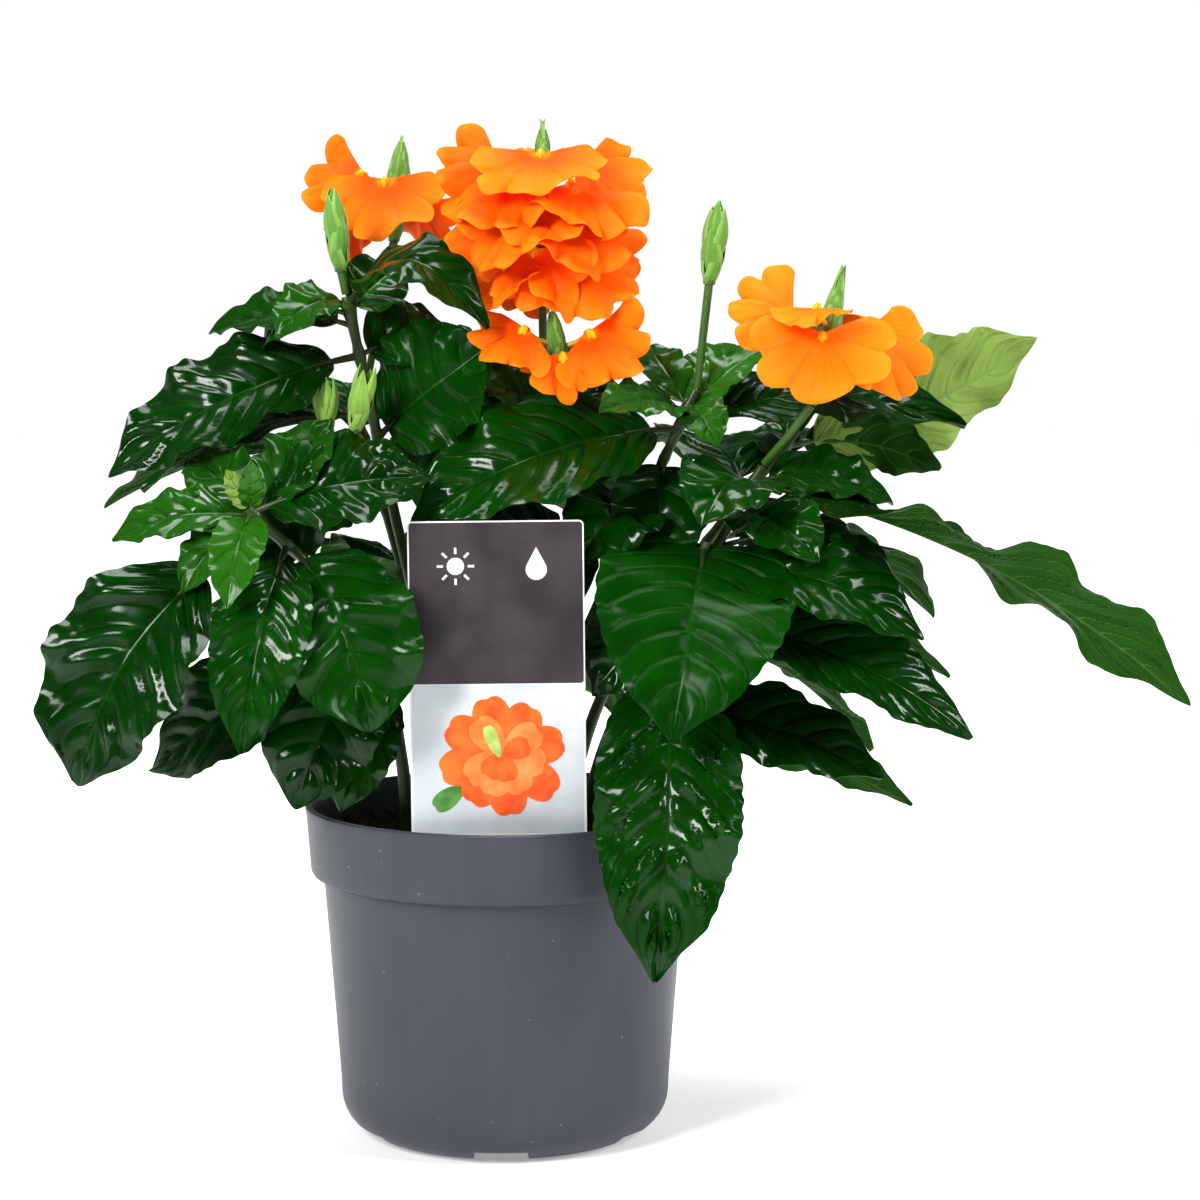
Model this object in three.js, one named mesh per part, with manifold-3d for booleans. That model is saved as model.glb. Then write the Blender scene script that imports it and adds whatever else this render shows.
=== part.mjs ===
import * as THREE from "three";
import { mergeVertices } from "three/addons/utils/BufferGeometryUtils.js";
import Module from "manifold-3d";

const wasm = await Module();
wasm.setup();

// ---------------------------------------------------------------------------
// Driving dimensions, in millimetres. The origin is the centre of the pot's
// base, +Z is up, and -Y is the front, where the label stands.
// ---------------------------------------------------------------------------

const FIT_GAP = 0.3; // clearance between pieces that touch
const UP = [0, 0, 1];

const POT = {
  sides: 24,
  height: 107.9,
  rimRadius: 65,
  rimLip: 2.2,
  bandHeight: 22,
  bandRadius: 63.6,
  shoulderRadius: 59.2,
  bottomRadius: 53.7,
  footRadius: 40.5,
  footWidth: 5,
  footHeight: 4.5,
  padRadius: 16, // flat middle of the base, level with the foot ring
  edgeRadius: 13.2,
  wall: 1.4,
  notches: 6,
  notchWidth: 18,
  drainRadius: 4,
  drainCircle: 26,
};

const SOIL = {
  level: 97,
  lump: 1.3,
  lumpPitch: 17,
  holeGap: 0.45,
};

const LABEL = {
  width: 54.6,
  top: 203.4,
  taperStart: 92,
  stakeEnd: 52,
  stakeWidth: 9,
  thickness: 0.9,
  front: -49,
  middle: 0,
  lean: 1.4, // degrees back from upright
  turn: -0.6, // degrees in its own plane
  cornerRadius: 1.5,
};

const LEAF = {
  thickness: 0.8,
  petioleThickness: 1.7,
  petioleHalf: 1,
  petioleShare: 0.1,
  fold: 0.16,
  wave: 0.055,
  waves: 3.5,
  longRows: 7,
  shortRows: 5,
  wideColumns: 4,
  narrowColumns: 2,
  longFrom: 55,
  wideFrom: 46,
};

// Outline exponents: how fast a blade widens from its petiole, and narrows to its tip.
const OUTLINES = {
  ovate: { rise: 0.62, fall: 0.8 },
  broad: { rise: 0.62, fall: 0.6 },
  heart: { rise: 0.4, fall: 0.76 },
};

const STEM = { baseRadius: 2.3, tipRadius: 1.5, sides: 5, step: 28 };
const STALK = { radius: 1.25, sides: 5, step: 18 };
const SPIKE = { sides: 6, tier: 6.5, flare: 1.14, waist: 0.8, bractRise: 0.5 };

const FLORET = {
  lobes: 5,
  spread: 170, // degrees round the throat that the fan of lobes covers
  notchDepth: 0.22,
  thickness: 0.7,
  tubeRadius: 1.1,
  tubeSides: 3,
  reach: 11,
  lift: 5,
  ruffle: 0.05,
  cup: 0.08,
  sleeve: 0.9,
  sleeveBelow: 2,
  sleeveAbove: 5,
  sink: 1.5, // least depth of a throat in the core that needs no tube
};

const COLOURS = {
  pot: 0x66666a,
  soil: 0x2b1d14,
  label: 0x4a4648,
  leaf: 0x1d5a1e,
  spike: 0x8fc45a,
  bloom: 0xff8a12,
};

// ---------------------------------------------------------------------------
// Solids and meshes.
// ---------------------------------------------------------------------------

const vector = (point) => new THREE.Vector3(...point);
const radians = THREE.MathUtils.degToRad;

function solidOf(geometry) {
  const bare = geometry.clone();
  bare.deleteAttribute("normal");
  bare.deleteAttribute("uv");
  const merged = mergeVertices(bare, 1e-4);
  return new wasm.Manifold(new wasm.Mesh({
    numProp: 3,
    vertProperties: new Float32Array(merged.attributes.position.array),
    triVerts: new Uint32Array(merged.index.array),
  }));
}

function geometryOf(solid) {
  const mesh = solid.getMesh();
  const geometry = new THREE.BufferGeometry();
  geometry.setAttribute("position", new THREE.BufferAttribute(mesh.vertProperties, 3));
  geometry.setIndex(new THREE.BufferAttribute(mesh.triVerts, 1));
  geometry.computeVertexNormals();
  return geometry;
}

// Joined solids, with any hollow that joining has sealed filled in.
function fused(solids) {
  const joined = solids.reduce((whole, solid) => whole.add(solid));
  const outsides = joined.decompose().filter((body) => body.volume() > 0);
  return outsides.reduce((whole, solid) => whole.add(solid));
}

function triangleGeometry(points, triangles) {
  const geometry = new THREE.BufferGeometry();
  const places = points.flatMap((point) => point.toArray());
  geometry.setAttribute("position", new THREE.Float32BufferAttribute(places, 3));
  geometry.setIndex(triangles);
  return geometry;
}

// A closed skin over rings of equal count, each ring anticlockwise seen from the end it runs to.
function loft(rings) {
  const count = rings[0].length;
  const points = rings.flat();
  const triangles = [];
  for (let ring = 0; ring + 1 < rings.length; ring += 1) {
    for (let side = 0; side < count; side += 1) {
      const next = (side + 1) % count;
      const [a, b] = [ring * count + side, ring * count + next];
      triangles.push(a, b, b + count, a, b + count, a + count);
    }
  }
  const last = (rings.length - 1) * count;
  for (let side = 1; side + 1 < count; side += 1) {
    triangles.push(0, side + 1, side);
    triangles.push(last, last + side, last + side + 1);
  }
  return triangleGeometry(points, triangles);
}

// A thin closed body between two sheets of points, both split into triangles alike.
function sheetBody(upper, lower) {
  const rows = upper.length;
  const columns = upper[0].length;
  const points = [...upper.flat(), ...lower.flat()];
  const under = rows * columns;
  const at = (row, column) => row * columns + column;
  const triangles = [];
  const quad = (a, b, c, d) => triangles.push(a, b, c, a, c, d);
  for (let row = 0; row + 1 < rows; row += 1) {
    for (let column = 0; column + 1 < columns; column += 1) {
      const [a, b] = [at(row, column), at(row, column + 1)];
      const [c, d] = [at(row + 1, column + 1), at(row + 1, column)];
      triangles.push(a, b, c, a, c, d);
      triangles.push(under + a, under + c, under + b, under + a, under + d, under + c);
    }
    const [left, leftNext] = [at(row, 0), at(row + 1, 0)];
    const [right, rightNext] = [at(row, columns - 1), at(row + 1, columns - 1)];
    quad(left, leftNext, under + leftNext, under + left);
    quad(rightNext, right, under + right, under + rightNext);
  }
  for (let column = 0; column + 1 < columns; column += 1) {
    const [first, second] = [at(0, column), at(0, column + 1)];
    const [far, further] = [at(rows - 1, column), at(rows - 1, column + 1)];
    quad(second, first, under + first, under + second);
    quad(far, further, under + further, under + far);
  }
  return triangleGeometry(points, triangles);
}

// A round bar along a curve, its frame carried along so that it doesn't twist.
function bar(curve, radiusAt, sides, step) {
  const count = Math.max(2, Math.round(curve.getLength() / step));
  let across = new THREE.Vector3(0, 1, 0);
  const rings = [];
  for (let index = 0; index <= count; index += 1) {
    const share = index / count;
    const centre = curve.getPointAt(share);
    const along = curve.getTangentAt(share);
    across = across.clone().addScaledVector(along, -across.dot(along)).normalize();
    const side = new THREE.Vector3().crossVectors(along, across);
    rings.push(circle(centre, across, side, radiusAt(share), sides));
  }
  return loft(rings);
}

function circle(centre, across, side, radius, sides) {
  return Array.from({ length: sides }, (_, index) => {
    const angle = (2 * Math.PI * index) / sides;
    return centre.clone()
      .addScaledVector(across, radius * Math.cos(angle))
      .addScaledVector(side, radius * Math.sin(angle));
  });
}

const curveThrough = (points) => new THREE.CatmullRomCurve3(points.map(vector));

// ---------------------------------------------------------------------------
// Leaves. A blade follows a midrib that bends once, and its edges wave.
// ---------------------------------------------------------------------------

// The share of the full width at a share of the blade's length.
function outline(share, { rise, fall }) {
  const peak = rise / (rise + fall);
  const most = peak ** rise * (1 - peak) ** fall;
  return (share ** rise * (1 - share) ** fall) / most;
}

function midrib(root, leaf) {
  const tip = vector(leaf.tip);
  const chord = tip.clone().sub(root).normalize();
  const face = vector(leaf.face ?? UP);
  const upward = face.addScaledVector(chord, -face.dot(chord)).normalize();
  const aside = new THREE.Vector3().crossVectors(chord, upward);
  const knee = root.clone().add(tip).multiplyScalar(0.5)
    .addScaledVector(upward, 2 * (leaf.bow ?? 0))
    .addScaledVector(aside, 2 * (leaf.sway ?? 0));
  return { curve: new THREE.QuadraticBezierCurve3(root, knee, tip), upward };
}

// The two sheets of a leaf: rows from petiole to tip, columns from edge to edge.
function leafSheets(root, leaf, phase) {
  const { curve, upward } = midrib(root, leaf);
  const rows = curve.getLength() >= LEAF.longFrom ? LEAF.longRows : LEAF.shortRows;
  const columns = leaf.width >= LEAF.wideFrom ? LEAF.wideColumns : LEAF.narrowColumns;
  const shape = OUTLINES[leaf.shape ?? "ovate"];
  const petiole = leaf.petiole ?? LEAF.petioleShare;
  const upper = [];
  const lower = [];
  for (let row = 0; row <= rows; row += 1) {
    const share = row === 0 ? 0 : petiole + ((1 - petiole) * (row - 1)) / (rows - 1);
    const blade = Math.max(0, (share - petiole) / (1 - petiole));
    const along = curve.getTangent(share);
    const centre = curve.getPoint(share);
    const normal = upward.clone().addScaledVector(along, -upward.dot(along)).normalize();
    normal.applyAxisAngle(along, radians((leaf.twist ?? 0) * share));
    const side = new THREE.Vector3().crossVectors(along, normal);
    const half = LEAF.petioleHalf * (1 - 0.6 * share) + (leaf.width / 2) * outline(blade, shape);
    const thickness = blade > 0 ? LEAF.thickness : LEAF.petioleThickness;
    const above = [];
    const below = [];
    for (let column = 0; column <= columns; column += 1) {
      const across = (2 * column) / columns - 1;
      const rise = bladeRise(across, blade, half, leaf, phase);
      const point = centre.clone().addScaledVector(side, half * across).addScaledVector(normal, rise);
      above.push(point.clone().addScaledVector(normal, thickness / 2));
      below.push(point.clone().addScaledVector(normal, -thickness / 2));
    }
    upper.push(above);
    lower.push(below);
  }
  return [upper, lower];
}

// How far a point of the blade stands above the flat: a fold at the midrib and a waving edge.
function bladeRise(across, blade, half, leaf, phase) {
  const fold = (leaf.fold ?? LEAF.fold) * half * Math.abs(across) ** 1.3;
  const turn = 2 * Math.PI * LEAF.waves * blade + phase + (across > 0 ? 2 : 0);
  const reach = leaf.width * (leaf.wave ?? LEAF.wave) * Math.min(1, (2 * half) / leaf.width);
  return fold + reach * across ** 2 * Math.sin(turn);
}

function leafyStem(shoot) {
  const curve = curveThrough(shoot.stem);
  const radiusAt = (share) => THREE.MathUtils.lerp(STEM.baseRadius, STEM.tipRadius, share);
  const solids = [solidOf(bar(curve, radiusAt, STEM.sides, STEM.step))];
  shoot.leaves.forEach((leaf, index) => {
    const root = curve.getPointAt(leaf.at);
    solids.push(solidOf(sheetBody(...leafSheets(root, leaf, 2.4 * index))));
  });
  return fused(solids);
}

// ---------------------------------------------------------------------------
// Flower spikes: a stalk and a spindle of overlapping green bracts.
// ---------------------------------------------------------------------------

function spikeSolid(spike) {
  const solids = [];
  if (spike.stalk) {
    const stalk = curveThrough([...spike.stalk, spike.base]);
    solids.push(solidOf(bar(stalk, () => STALK.radius, STALK.sides, STALK.step)));
  }
  solids.push(solidOf(bractSpindle(spike)));
  return fused(solids);
}

function bractSpindle({ base, tip, radius }) {
  const foot = vector(base);
  const axis = vector(tip).sub(foot);
  const length = axis.length();
  const along = axis.clone().normalize();
  const across = new THREE.Vector3(1, 0, 0).addScaledVector(along, -along.x).normalize();
  const side = new THREE.Vector3().crossVectors(along, across);
  const tiers = Math.round(length / SPIKE.tier);
  const rings = [bractRing(foot, along, across, side, STALK.radius * 0.9, -SPIKE.tier * 0.3, 0, 0)];
  for (let tier = 0; tier < tiers; tier += 1) {
    const low = (length * tier) / tiers;
    const high = (length * (tier + 0.82)) / tiers;
    const waist = radius * spindle(low / length) * SPIKE.waist;
    const flare = radius * spindle(high / length) * SPIKE.flare;
    rings.push(bractRing(foot, along, across, side, waist, low, 0, tier));
    rings.push(bractRing(foot, along, across, side, flare, high, SPIKE.bractRise, tier));
  }
  return loft(rings);
}

// The spindle's radius as a share of its widest, at a share of its length.
const spindle = (share) => 0.12 + 0.88 * Math.sin(Math.PI * (0.24 + 0.76 * share)) ** 0.9;

// Every second corner of a ring is a bract's point, raised above its neighbours.
function bractRing(foot, along, across, side, radius, height, rise, tier) {
  const points = circle(foot, across, side, radius, SPIKE.sides);
  return points.map((point, index) => {
    const pointed = (index + tier) % 2 === 0;
    const lift = height + (pointed ? rise * SPIKE.tier : 0);
    return point.addScaledVector(along, lift);
  });
}

// ---------------------------------------------------------------------------
// Blooms: florets on a thin sleeve that stands round the green spike.
// ---------------------------------------------------------------------------

function bloomSolid(bloom, spike) {
  const foot = vector(spike.base);
  const along = vector(spike.tip).sub(foot).normalize();
  const rises = bloom.florets.map((floret) => floret.rise);
  const low = Math.min(...rises) - FLORET.sleeveBelow;
  const high = Math.max(...rises) + FLORET.sleeveAbove;
  const inner = SPIKE.flare * spike.radius + FIT_GAP;
  const hollow = axialBody(foot, along, low - 9 * spike.radius, high + 9 * spike.radius, () => inner);
  const core = bloom.core ?? 0;
  const coreRadius = (share) => Math.max(inner + FLORET.sleeve, core * (1 - 0.45 * share ** 2));
  const solids = [axialBody(foot, along, low, high, coreRadius)];
  for (const floret of bloom.florets) {
    const root = foot.clone().addScaledVector(along, floret.rise);
    const coreThere = coreRadius((floret.rise + FLORET.lift - low) / (high - low));
    const standsOut = (floret.reach ?? FLORET.reach) > coreThere - FLORET.sink;
    if (standsOut) solids.push(solidOf(floretTube(root, floret)));
    solids.push(solidOf(floretFan(root, floret)));
  }
  return fused(solids).subtract(hollow);
}

// A body round the spike's axis between two heights above its foot.
function axialBody(foot, along, low, high, radiusAt) {
  const start = foot.clone().addScaledVector(along, low);
  const end = foot.clone().addScaledVector(along, high);
  return solidOf(bar(new THREE.LineCurve3(start, end), radiusAt, SPIKE.sides + 2, high - low));
}

// Directions of a floret: outward, along its middle lobe, out of its face, and sideways.
function floretFrame({ turn, dip, bank = 0 }) {
  const out = new THREE.Vector3(Math.cos(radians(turn)), Math.sin(radians(turn)), 0);
  const down = radians(dip);
  const middle = out.clone().multiplyScalar(Math.cos(down)).addScaledVector(vector(UP), -Math.sin(down));
  const face = out.clone().multiplyScalar(Math.sin(down)).addScaledVector(vector(UP), Math.cos(down));
  face.applyAxisAngle(middle, radians(bank));
  const side = new THREE.Vector3().crossVectors(middle, face);
  return { out, middle, face, side };
}

function throatOf(root, floret) {
  const { out } = floretFrame(floret);
  const reach = floret.reach ?? FLORET.reach;
  return root.clone().addScaledVector(out, reach).addScaledVector(vector(UP), floret.lift ?? FLORET.lift);
}

function floretTube(root, floret) {
  const { face } = floretFrame(floret);
  const throat = throatOf(root, floret).addScaledVector(face, FLORET.thickness / 4);
  const path = new THREE.QuadraticBezierCurve3(root, throat.clone().addScaledVector(face, -4), throat);
  return bar(path, (share) => FLORET.tubeRadius * (0.8 + 0.5 * share), FLORET.tubeSides, 7);
}

// The rim of the fan: for each lobe a notch and two shoulders.
function floretFan(root, floret) {
  const throat = throatOf(root, floret);
  const { face } = floretFrame(floret);
  const steps = FLORET.lobes * 3;
  const rim = [];
  for (let index = 0; index <= steps; index += 1) {
    const angle = radians(floret.spread ?? FLORET.spread) * (index / steps - 0.5);
    rim.push(fanPoint(throat, floret, angle, 1));
  }
  const half = FLORET.thickness / 2;
  const upper = [throat, ...rim].map((point) => point.clone().addScaledVector(face, half));
  const lower = [throat, ...rim].map((point) => point.clone().addScaledVector(face, -half));
  return fanBody(upper, lower);
}

// A point of the fan, at an angle from the middle lobe and a share of the way to the rim.
function fanPoint(throat, floret, angle, share) {
  const { middle, face, side } = floretFrame(floret);
  const spread = radians(floret.spread ?? FLORET.spread);
  const lobe = Math.abs(Math.cos((Math.PI * angle * FLORET.lobes) / spread)) ** 0.6;
  const shrink = 1 - 0.12 * ((2 * angle) / spread) ** 2;
  const radius = floret.size * shrink * (1 - FLORET.notchDepth * (1 - lobe)) * share;
  const ruffle = FLORET.ruffle * floret.size * Math.sin(4 * angle + floret.turn);
  return throat.clone()
    .addScaledVector(middle, radius * Math.cos(angle))
    .addScaledVector(side, radius * Math.sin(angle))
    .addScaledVector(face, (ruffle - FLORET.cup * floret.size) * share ** 1.6);
}

function fanBody(upper, lower) {
  const count = upper.length;
  const triangles = [];
  for (let index = 1; index + 1 < count; index += 1) {
    const next = index + 1;
    triangles.push(0, next, index);
    triangles.push(count, count + index, count + next);
    triangles.push(index, next, count + next, index, count + next, count + index);
  }
  triangles.push(0, 1, count + 1, 0, count + 1, count);
  triangles.push(0, count, 2 * count - 1, 0, 2 * count - 1, count - 1);
  return triangleGeometry([...upper, ...lower], triangles);
}

// ---------------------------------------------------------------------------
// Pot, soil and label.
// ---------------------------------------------------------------------------

// Outer outline of the pot, from its foot up to the rim, as [radius, height].
function potOutside() {
  const { footRadius, edgeRadius, bottomRadius, shoulderRadius, bandRadius, rimRadius } = POT;
  const bandFoot = POT.height - POT.bandHeight;
  const edge = [30, 60].map((angle) => [
    footRadius + edgeRadius * Math.sin(radians(angle)),
    edgeRadius * (1 - Math.cos(radians(angle))),
  ]);
  return [
    [footRadius, 0],
    ...edge,
    [bottomRadius, edgeRadius],
    [shoulderRadius, bandFoot - 2],
    [bandRadius - 0.5, bandFoot + 2],
    [bandRadius, bandFoot + 4],
    [rimRadius, POT.height - 1],
    [rimRadius - 0.8, POT.height],
  ];
}

// Inner outline from the rim down to the floor, one wall inside the outer one.
function potInside(gap = 0) {
  const { wall, height, bandHeight, footHeight, footRadius } = POT;
  const bandFoot = height - bandHeight;
  const inset = wall + gap;
  return [
    [POT.rimRadius - POT.rimLip - gap, height],
    [POT.bandRadius - inset, bandFoot + 4],
    [POT.shoulderRadius - inset, bandFoot - 1],
    [POT.bottomRadius - inset, POT.edgeRadius + footHeight],
    [POT.bottomRadius - inset - 5, footHeight + wall + 3 + gap],
    [footRadius - gap, footHeight + wall + gap],
    [0, footHeight + wall + gap],
  ];
}

function lathe(outline2d) {
  const profile = outline2d.map(([radius, height]) => new THREE.Vector2(radius, height));
  return new THREE.LatheGeometry(profile, POT.sides).rotateX(Math.PI / 2);
}

function potSolid() {
  const inner = POT.footRadius - POT.footWidth;
  const pad = [[0, 0], [POT.padRadius, 0], [POT.padRadius + 1.5, POT.footHeight]];
  const profile = [...pad, [inner, POT.footHeight], [inner, 0], ...potOutside(), ...potInside()];
  let pot = solidOf(lathe(profile));
  for (let index = 0; index < POT.notches; index += 1) {
    const angle = (2 * Math.PI * index) / POT.notches - Math.PI / 2;
    pot = pot.subtract(footNotch(angle)).subtract(drainHole(angle));
  }
  return pot;
}

function footNotch(angle) {
  const box = new THREE.BoxGeometry(24, POT.notchWidth, 2 * POT.footHeight);
  box.translate(POT.footRadius + 4, 0, 0).rotateZ(angle);
  return solidOf(box);
}

function drainHole(angle) {
  const hole = new THREE.CylinderGeometry(POT.drainRadius, POT.drainRadius, 40, 12);
  hole.rotateX(Math.PI / 2).translate(POT.drainCircle, 0, 0).rotateZ(angle);
  return solidOf(hole);
}

// Peat filling the pot, its top in low lumps, with plain holes for the stems and the stake.
function soilSolid(shoots) {
  const side = potInside(FIT_GAP).slice(1).reverse();
  const top = [61, 42, 21, 0].map((radius) => [radius, SOIL.level]);
  const geometry = lathe([...side, ...top]);
  const place = geometry.attributes.position;
  for (let index = 0; index < place.count; index += 1) {
    const [x, y, z] = [place.getX(index), place.getY(index), place.getZ(index)];
    const wavelet = Math.sin(x / SOIL.lumpPitch * 5) * Math.cos(y / SOIL.lumpPitch * 4 + 1);
    if (z > SOIL.level - 1) place.setZ(index, z + SOIL.lump * wavelet);
  }
  let soil = solidOf(geometry);
  for (const shoot of shoots) soil = soil.subtract(stemHole(shoot));
  return soil.subtract(solidOf(labelBody(SOIL.holeGap)));
}

// The stem's own path, thicker by the clearance and run on a little past its foot.
function stemHole(shoot) {
  const curve = curveThrough(shoot.stem);
  const foot = curve.getPointAt(0);
  const start = foot.clone().addScaledVector(curve.getTangentAt(0), -SOIL.holeGap);
  const end = curve.getPointAt(0.3);
  const path = new THREE.CatmullRomCurve3([start, foot, curve.getPointAt(0.15), end]);
  return solidOf(bar(path, () => STEM.baseRadius + SOIL.holeGap, STEM.sides + 1, 26));
}

// A tapered plate with rounded top corners and a stake, grown by a clearance for its slot.
function labelBody(gap = 0) {
  const half = LABEL.width / 2 + gap;
  const stake = LABEL.stakeWidth / 2 + gap;
  const shape = new THREE.Shape();
  shape.moveTo(-half, LABEL.taperStart);
  shape.lineTo(-half, LABEL.top - LABEL.cornerRadius);
  shape.lineTo(-half + LABEL.cornerRadius, LABEL.top);
  shape.lineTo(half - LABEL.cornerRadius, LABEL.top);
  shape.lineTo(half, LABEL.top - LABEL.cornerRadius);
  shape.lineTo(half, LABEL.taperStart);
  shape.lineTo(stake, LABEL.stakeEnd + 8);
  shape.lineTo(0, LABEL.stakeEnd - gap);
  shape.lineTo(-stake, LABEL.stakeEnd + 8);
  shape.closePath();
  const depth = LABEL.thickness + 2 * gap;
  const plate = new THREE.ExtrudeGeometry(shape, { depth, bevelEnabled: false });
  plate.translate(0, 0, -depth / 2).rotateX(Math.PI / 2);
  plate.translate(0, 0, -LABEL.taperStart).rotateY(radians(LABEL.turn));
  plate.rotateX(radians(-LABEL.lean));
  return plate.translate(LABEL.middle, LABEL.front, LABEL.taperStart);
}

// ---------------------------------------------------------------------------
// The plant. Stems are points from their foot in the soil to their tip. A leaf
// grows from a share of its stem's length to its tip, its upper side towards
// `face`, and bows out of its chord by `bow` and aside by `sway`.
// ---------------------------------------------------------------------------

const SHOOTS = [
  {
    name: "leafy_stem_front_left",
    stem: [[-30, -22, 82], [-32, -24, 125], [-42, -32, 168], [-78, -45, 207]],
    leaves: [
      { at: 0.93, tip: [-129, -62, 123], width: 50, bow: 14, sway: 5, shape: "broad", petiole: 0.24, face: [-0.2, -1, 0.8] },
      { at: 0.88, tip: [-77, -76, 135], width: 29, bow: 12, face: [0, -1, 0.6] },
      { at: 0.87, tip: [-39, -64, 140], width: 44, shape: "broad", bow: 11, sway: -3, face: [0.1, -1, 0.7] },
      { at: 0.5, tip: [-50, -44, 112], width: 24, bow: 5, face: [0, -1, 0.6] },
      { at: 0.6, tip: [-64, -46, 113], width: 38, bow: 7, face: [0, -1, 0.8] },
      { at: 0.68, tip: [-112, -26, 122], width: 36, bow: 8, sway: -6, face: [-0.3, -1, 0.7] },
      { at: 0.985, tip: [-81, -75, 179], width: 16, bow: 6, face: [0, -1, 1] },
      { at: 0.97, tip: [-96, -60, 182], width: 18, bow: 5, face: [-0.3, -1, 1] },
      { at: 0.97, tip: [-120, -44, 197], width: 20, bow: 6, face: [0, -0.8, 1] },
      { at: 0.985, tip: [-21, -38, 216], width: 37, bow: 5, face: [0, -0.9, 1] },
      { at: 0.96, tip: [-98, -22, 222], width: 22, bow: 4, face: [0, -0.9, 1] },
      { at: 0.97, tip: [-53, -28, 234], width: 22, bow: 2, face: [-0.4, -1, 0.6] },
      { at: 0.99, tip: [-76, -50, 222], width: 7, bow: 1, face: [0.3, -1, 0.2] },
      { at: 0.99, tip: [-84, -46, 219], width: 6, bow: 1, face: [-0.3, 1, 0.2] },
    ],
  },
  {
    name: "leafy_stem_upper_left",
    stem: [[-15, 5, 82], [-20, 4, 130], [-36, 0, 205], [-50, -4, 272]],
    leaves: [
      { at: 0.9, tip: [-125, -18, 215], width: 40, bow: 8, face: [0, -0.8, 1] },
      { at: 0.8, tip: [-118, 6, 209], width: 28, bow: 9, face: [0, -0.4, 1] },
      { at: 0.95, tip: [-96, 10, 260], width: 24, bow: 6, face: [0, -0.6, 1] },
      { at: 0.985, tip: [-71, -20, 259], width: 20, bow: 7, face: [-0.3, -1, 1] },
      { at: 0.97, tip: [-78, 2, 253], width: 22, bow: 9, face: [-0.3, -0.6, 1] },
      { at: 0.975, tip: [-34, 8, 281], width: 22, bow: 3, face: [0, -1, 0.6] },
      { at: 0.9, tip: [-20, 11, 263], width: 26, bow: 3, face: [0, -1, 0.5] },
      { at: 0.985, tip: [-4, -25, 262], width: 26, bow: 20, face: [0, -0.6, 1] },
      { at: 0.76, tip: [-3, -13, 257], width: 44, bow: 3, face: [-0.2, -1, 0.5] },
      { at: 0.7, tip: [-78, -20, 182], width: 34, bow: 8, face: [-0.3, -0.8, 1] },
    ],
  },
  {
    name: "leafy_stem_centre",
    stem: [[0, 8, 82], [2, 8, 140], [8, 5, 195], [13, 2, 238]],
    leaves: [
      { at: 0.96, tip: [-14, -10, 245], width: 21, bow: 6, face: [-0.2, -0.8, 1] },
      { at: 0.93, tip: [42, 20, 240], width: 24, bow: 7, face: [0.2, -0.6, 1] },
      { at: 0.8, tip: [-18, -36, 188], width: 40, bow: 8, face: [0, -1, 0.6] },
      { at: 0.72, tip: [24, -36, 174], width: 32, bow: 8, face: [0, -1, 0.6] },
      { at: 0.45, tip: [-18, -42, 130], width: 28, bow: 8, face: [0, -1, 0.6] },
      { at: 0.82, tip: [44, 46, 186], width: 38, bow: 10, face: [0.3, 0.3, 1] },
      { at: 0.8, tip: [-34, 26, 172], width: 32, bow: 10, face: [-0.5, 0.2, 1] },
      { at: 0.95, tip: [-38, 12, 212], width: 34, bow: 9, face: [-0.2, -1, 0.8] },
      { at: 0.9, tip: [0, 26, 252], width: 30, bow: 4, face: [0, -1, 0.6] },
    ],
  },
  {
    name: "leafy_stem_right_centre",
    stem: [[8, -8, 82], [14, -9, 130], [38, -8, 190], [62, -5, 242]],
    leaves: [
      { at: 0.92, tip: [-28, -36, 202], width: 44, bow: 10, face: [0, -0.9, 1] },
      { at: 0.955, tip: [31, -41, 237], width: 20, bow: 4, face: [0, -0.9, 1] },
      { at: 0.96, tip: [76, 20, 256], width: 17, bow: 4, face: [0, -0.5, 1] },
      { at: 0.965, tip: [68, -27, 225], width: 15, bow: 5, face: [0, -1, 1] },
      { at: 0.95, tip: [85, 6, 255], width: 14, bow: 3, face: [0, -0.6, 1] },
      { at: 0.96, tip: [44, 14, 256], width: 15, bow: 4, face: [0, -0.6, 1] },
      { at: 0.75, tip: [24, -42, 189], width: 30, bow: 8, face: [0, -1, 1] },
      { at: 0.93, tip: [150, 6, 230], width: 32, bow: 7, sway: -7, face: [0, -0.6, 1] },
      { at: 0.86, tip: [47, -28, 184], width: 30, bow: 6, face: [0.1, -1, 0.5] },
    ],
  },
  {
    name: "leafy_stem_right",
    stem: [[22, -2, 82], [34, -4, 130], [62, -9, 180], [83, -12, 218]],
    leaves: [
      { at: 0.96, tip: [216, -40, 145], width: 44, bow: 13, twist: -90, face: [0, -0.5, 1] },
      { at: 0.95, tip: [62, -48, 202], width: 32, bow: 8, face: [0, -0.8, 1] },
      { at: 0.96, tip: [126, -2, 205], width: 26, bow: 7, face: [0, -0.6, 1] },
      { at: 0.88, tip: [99, -44, 190], width: 26, bow: 7, face: [0, -0.8, 1] },
      { at: 0.8, tip: [129, -15, 176], width: 28, bow: 12, face: [0, -0.4, 1] },
    ],
  },
  {
    name: "leafy_stem_lower_right",
    stem: [[28, -16, 82], [38, -19, 120], [52, -24, 158], [65, -28, 195]],
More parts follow.
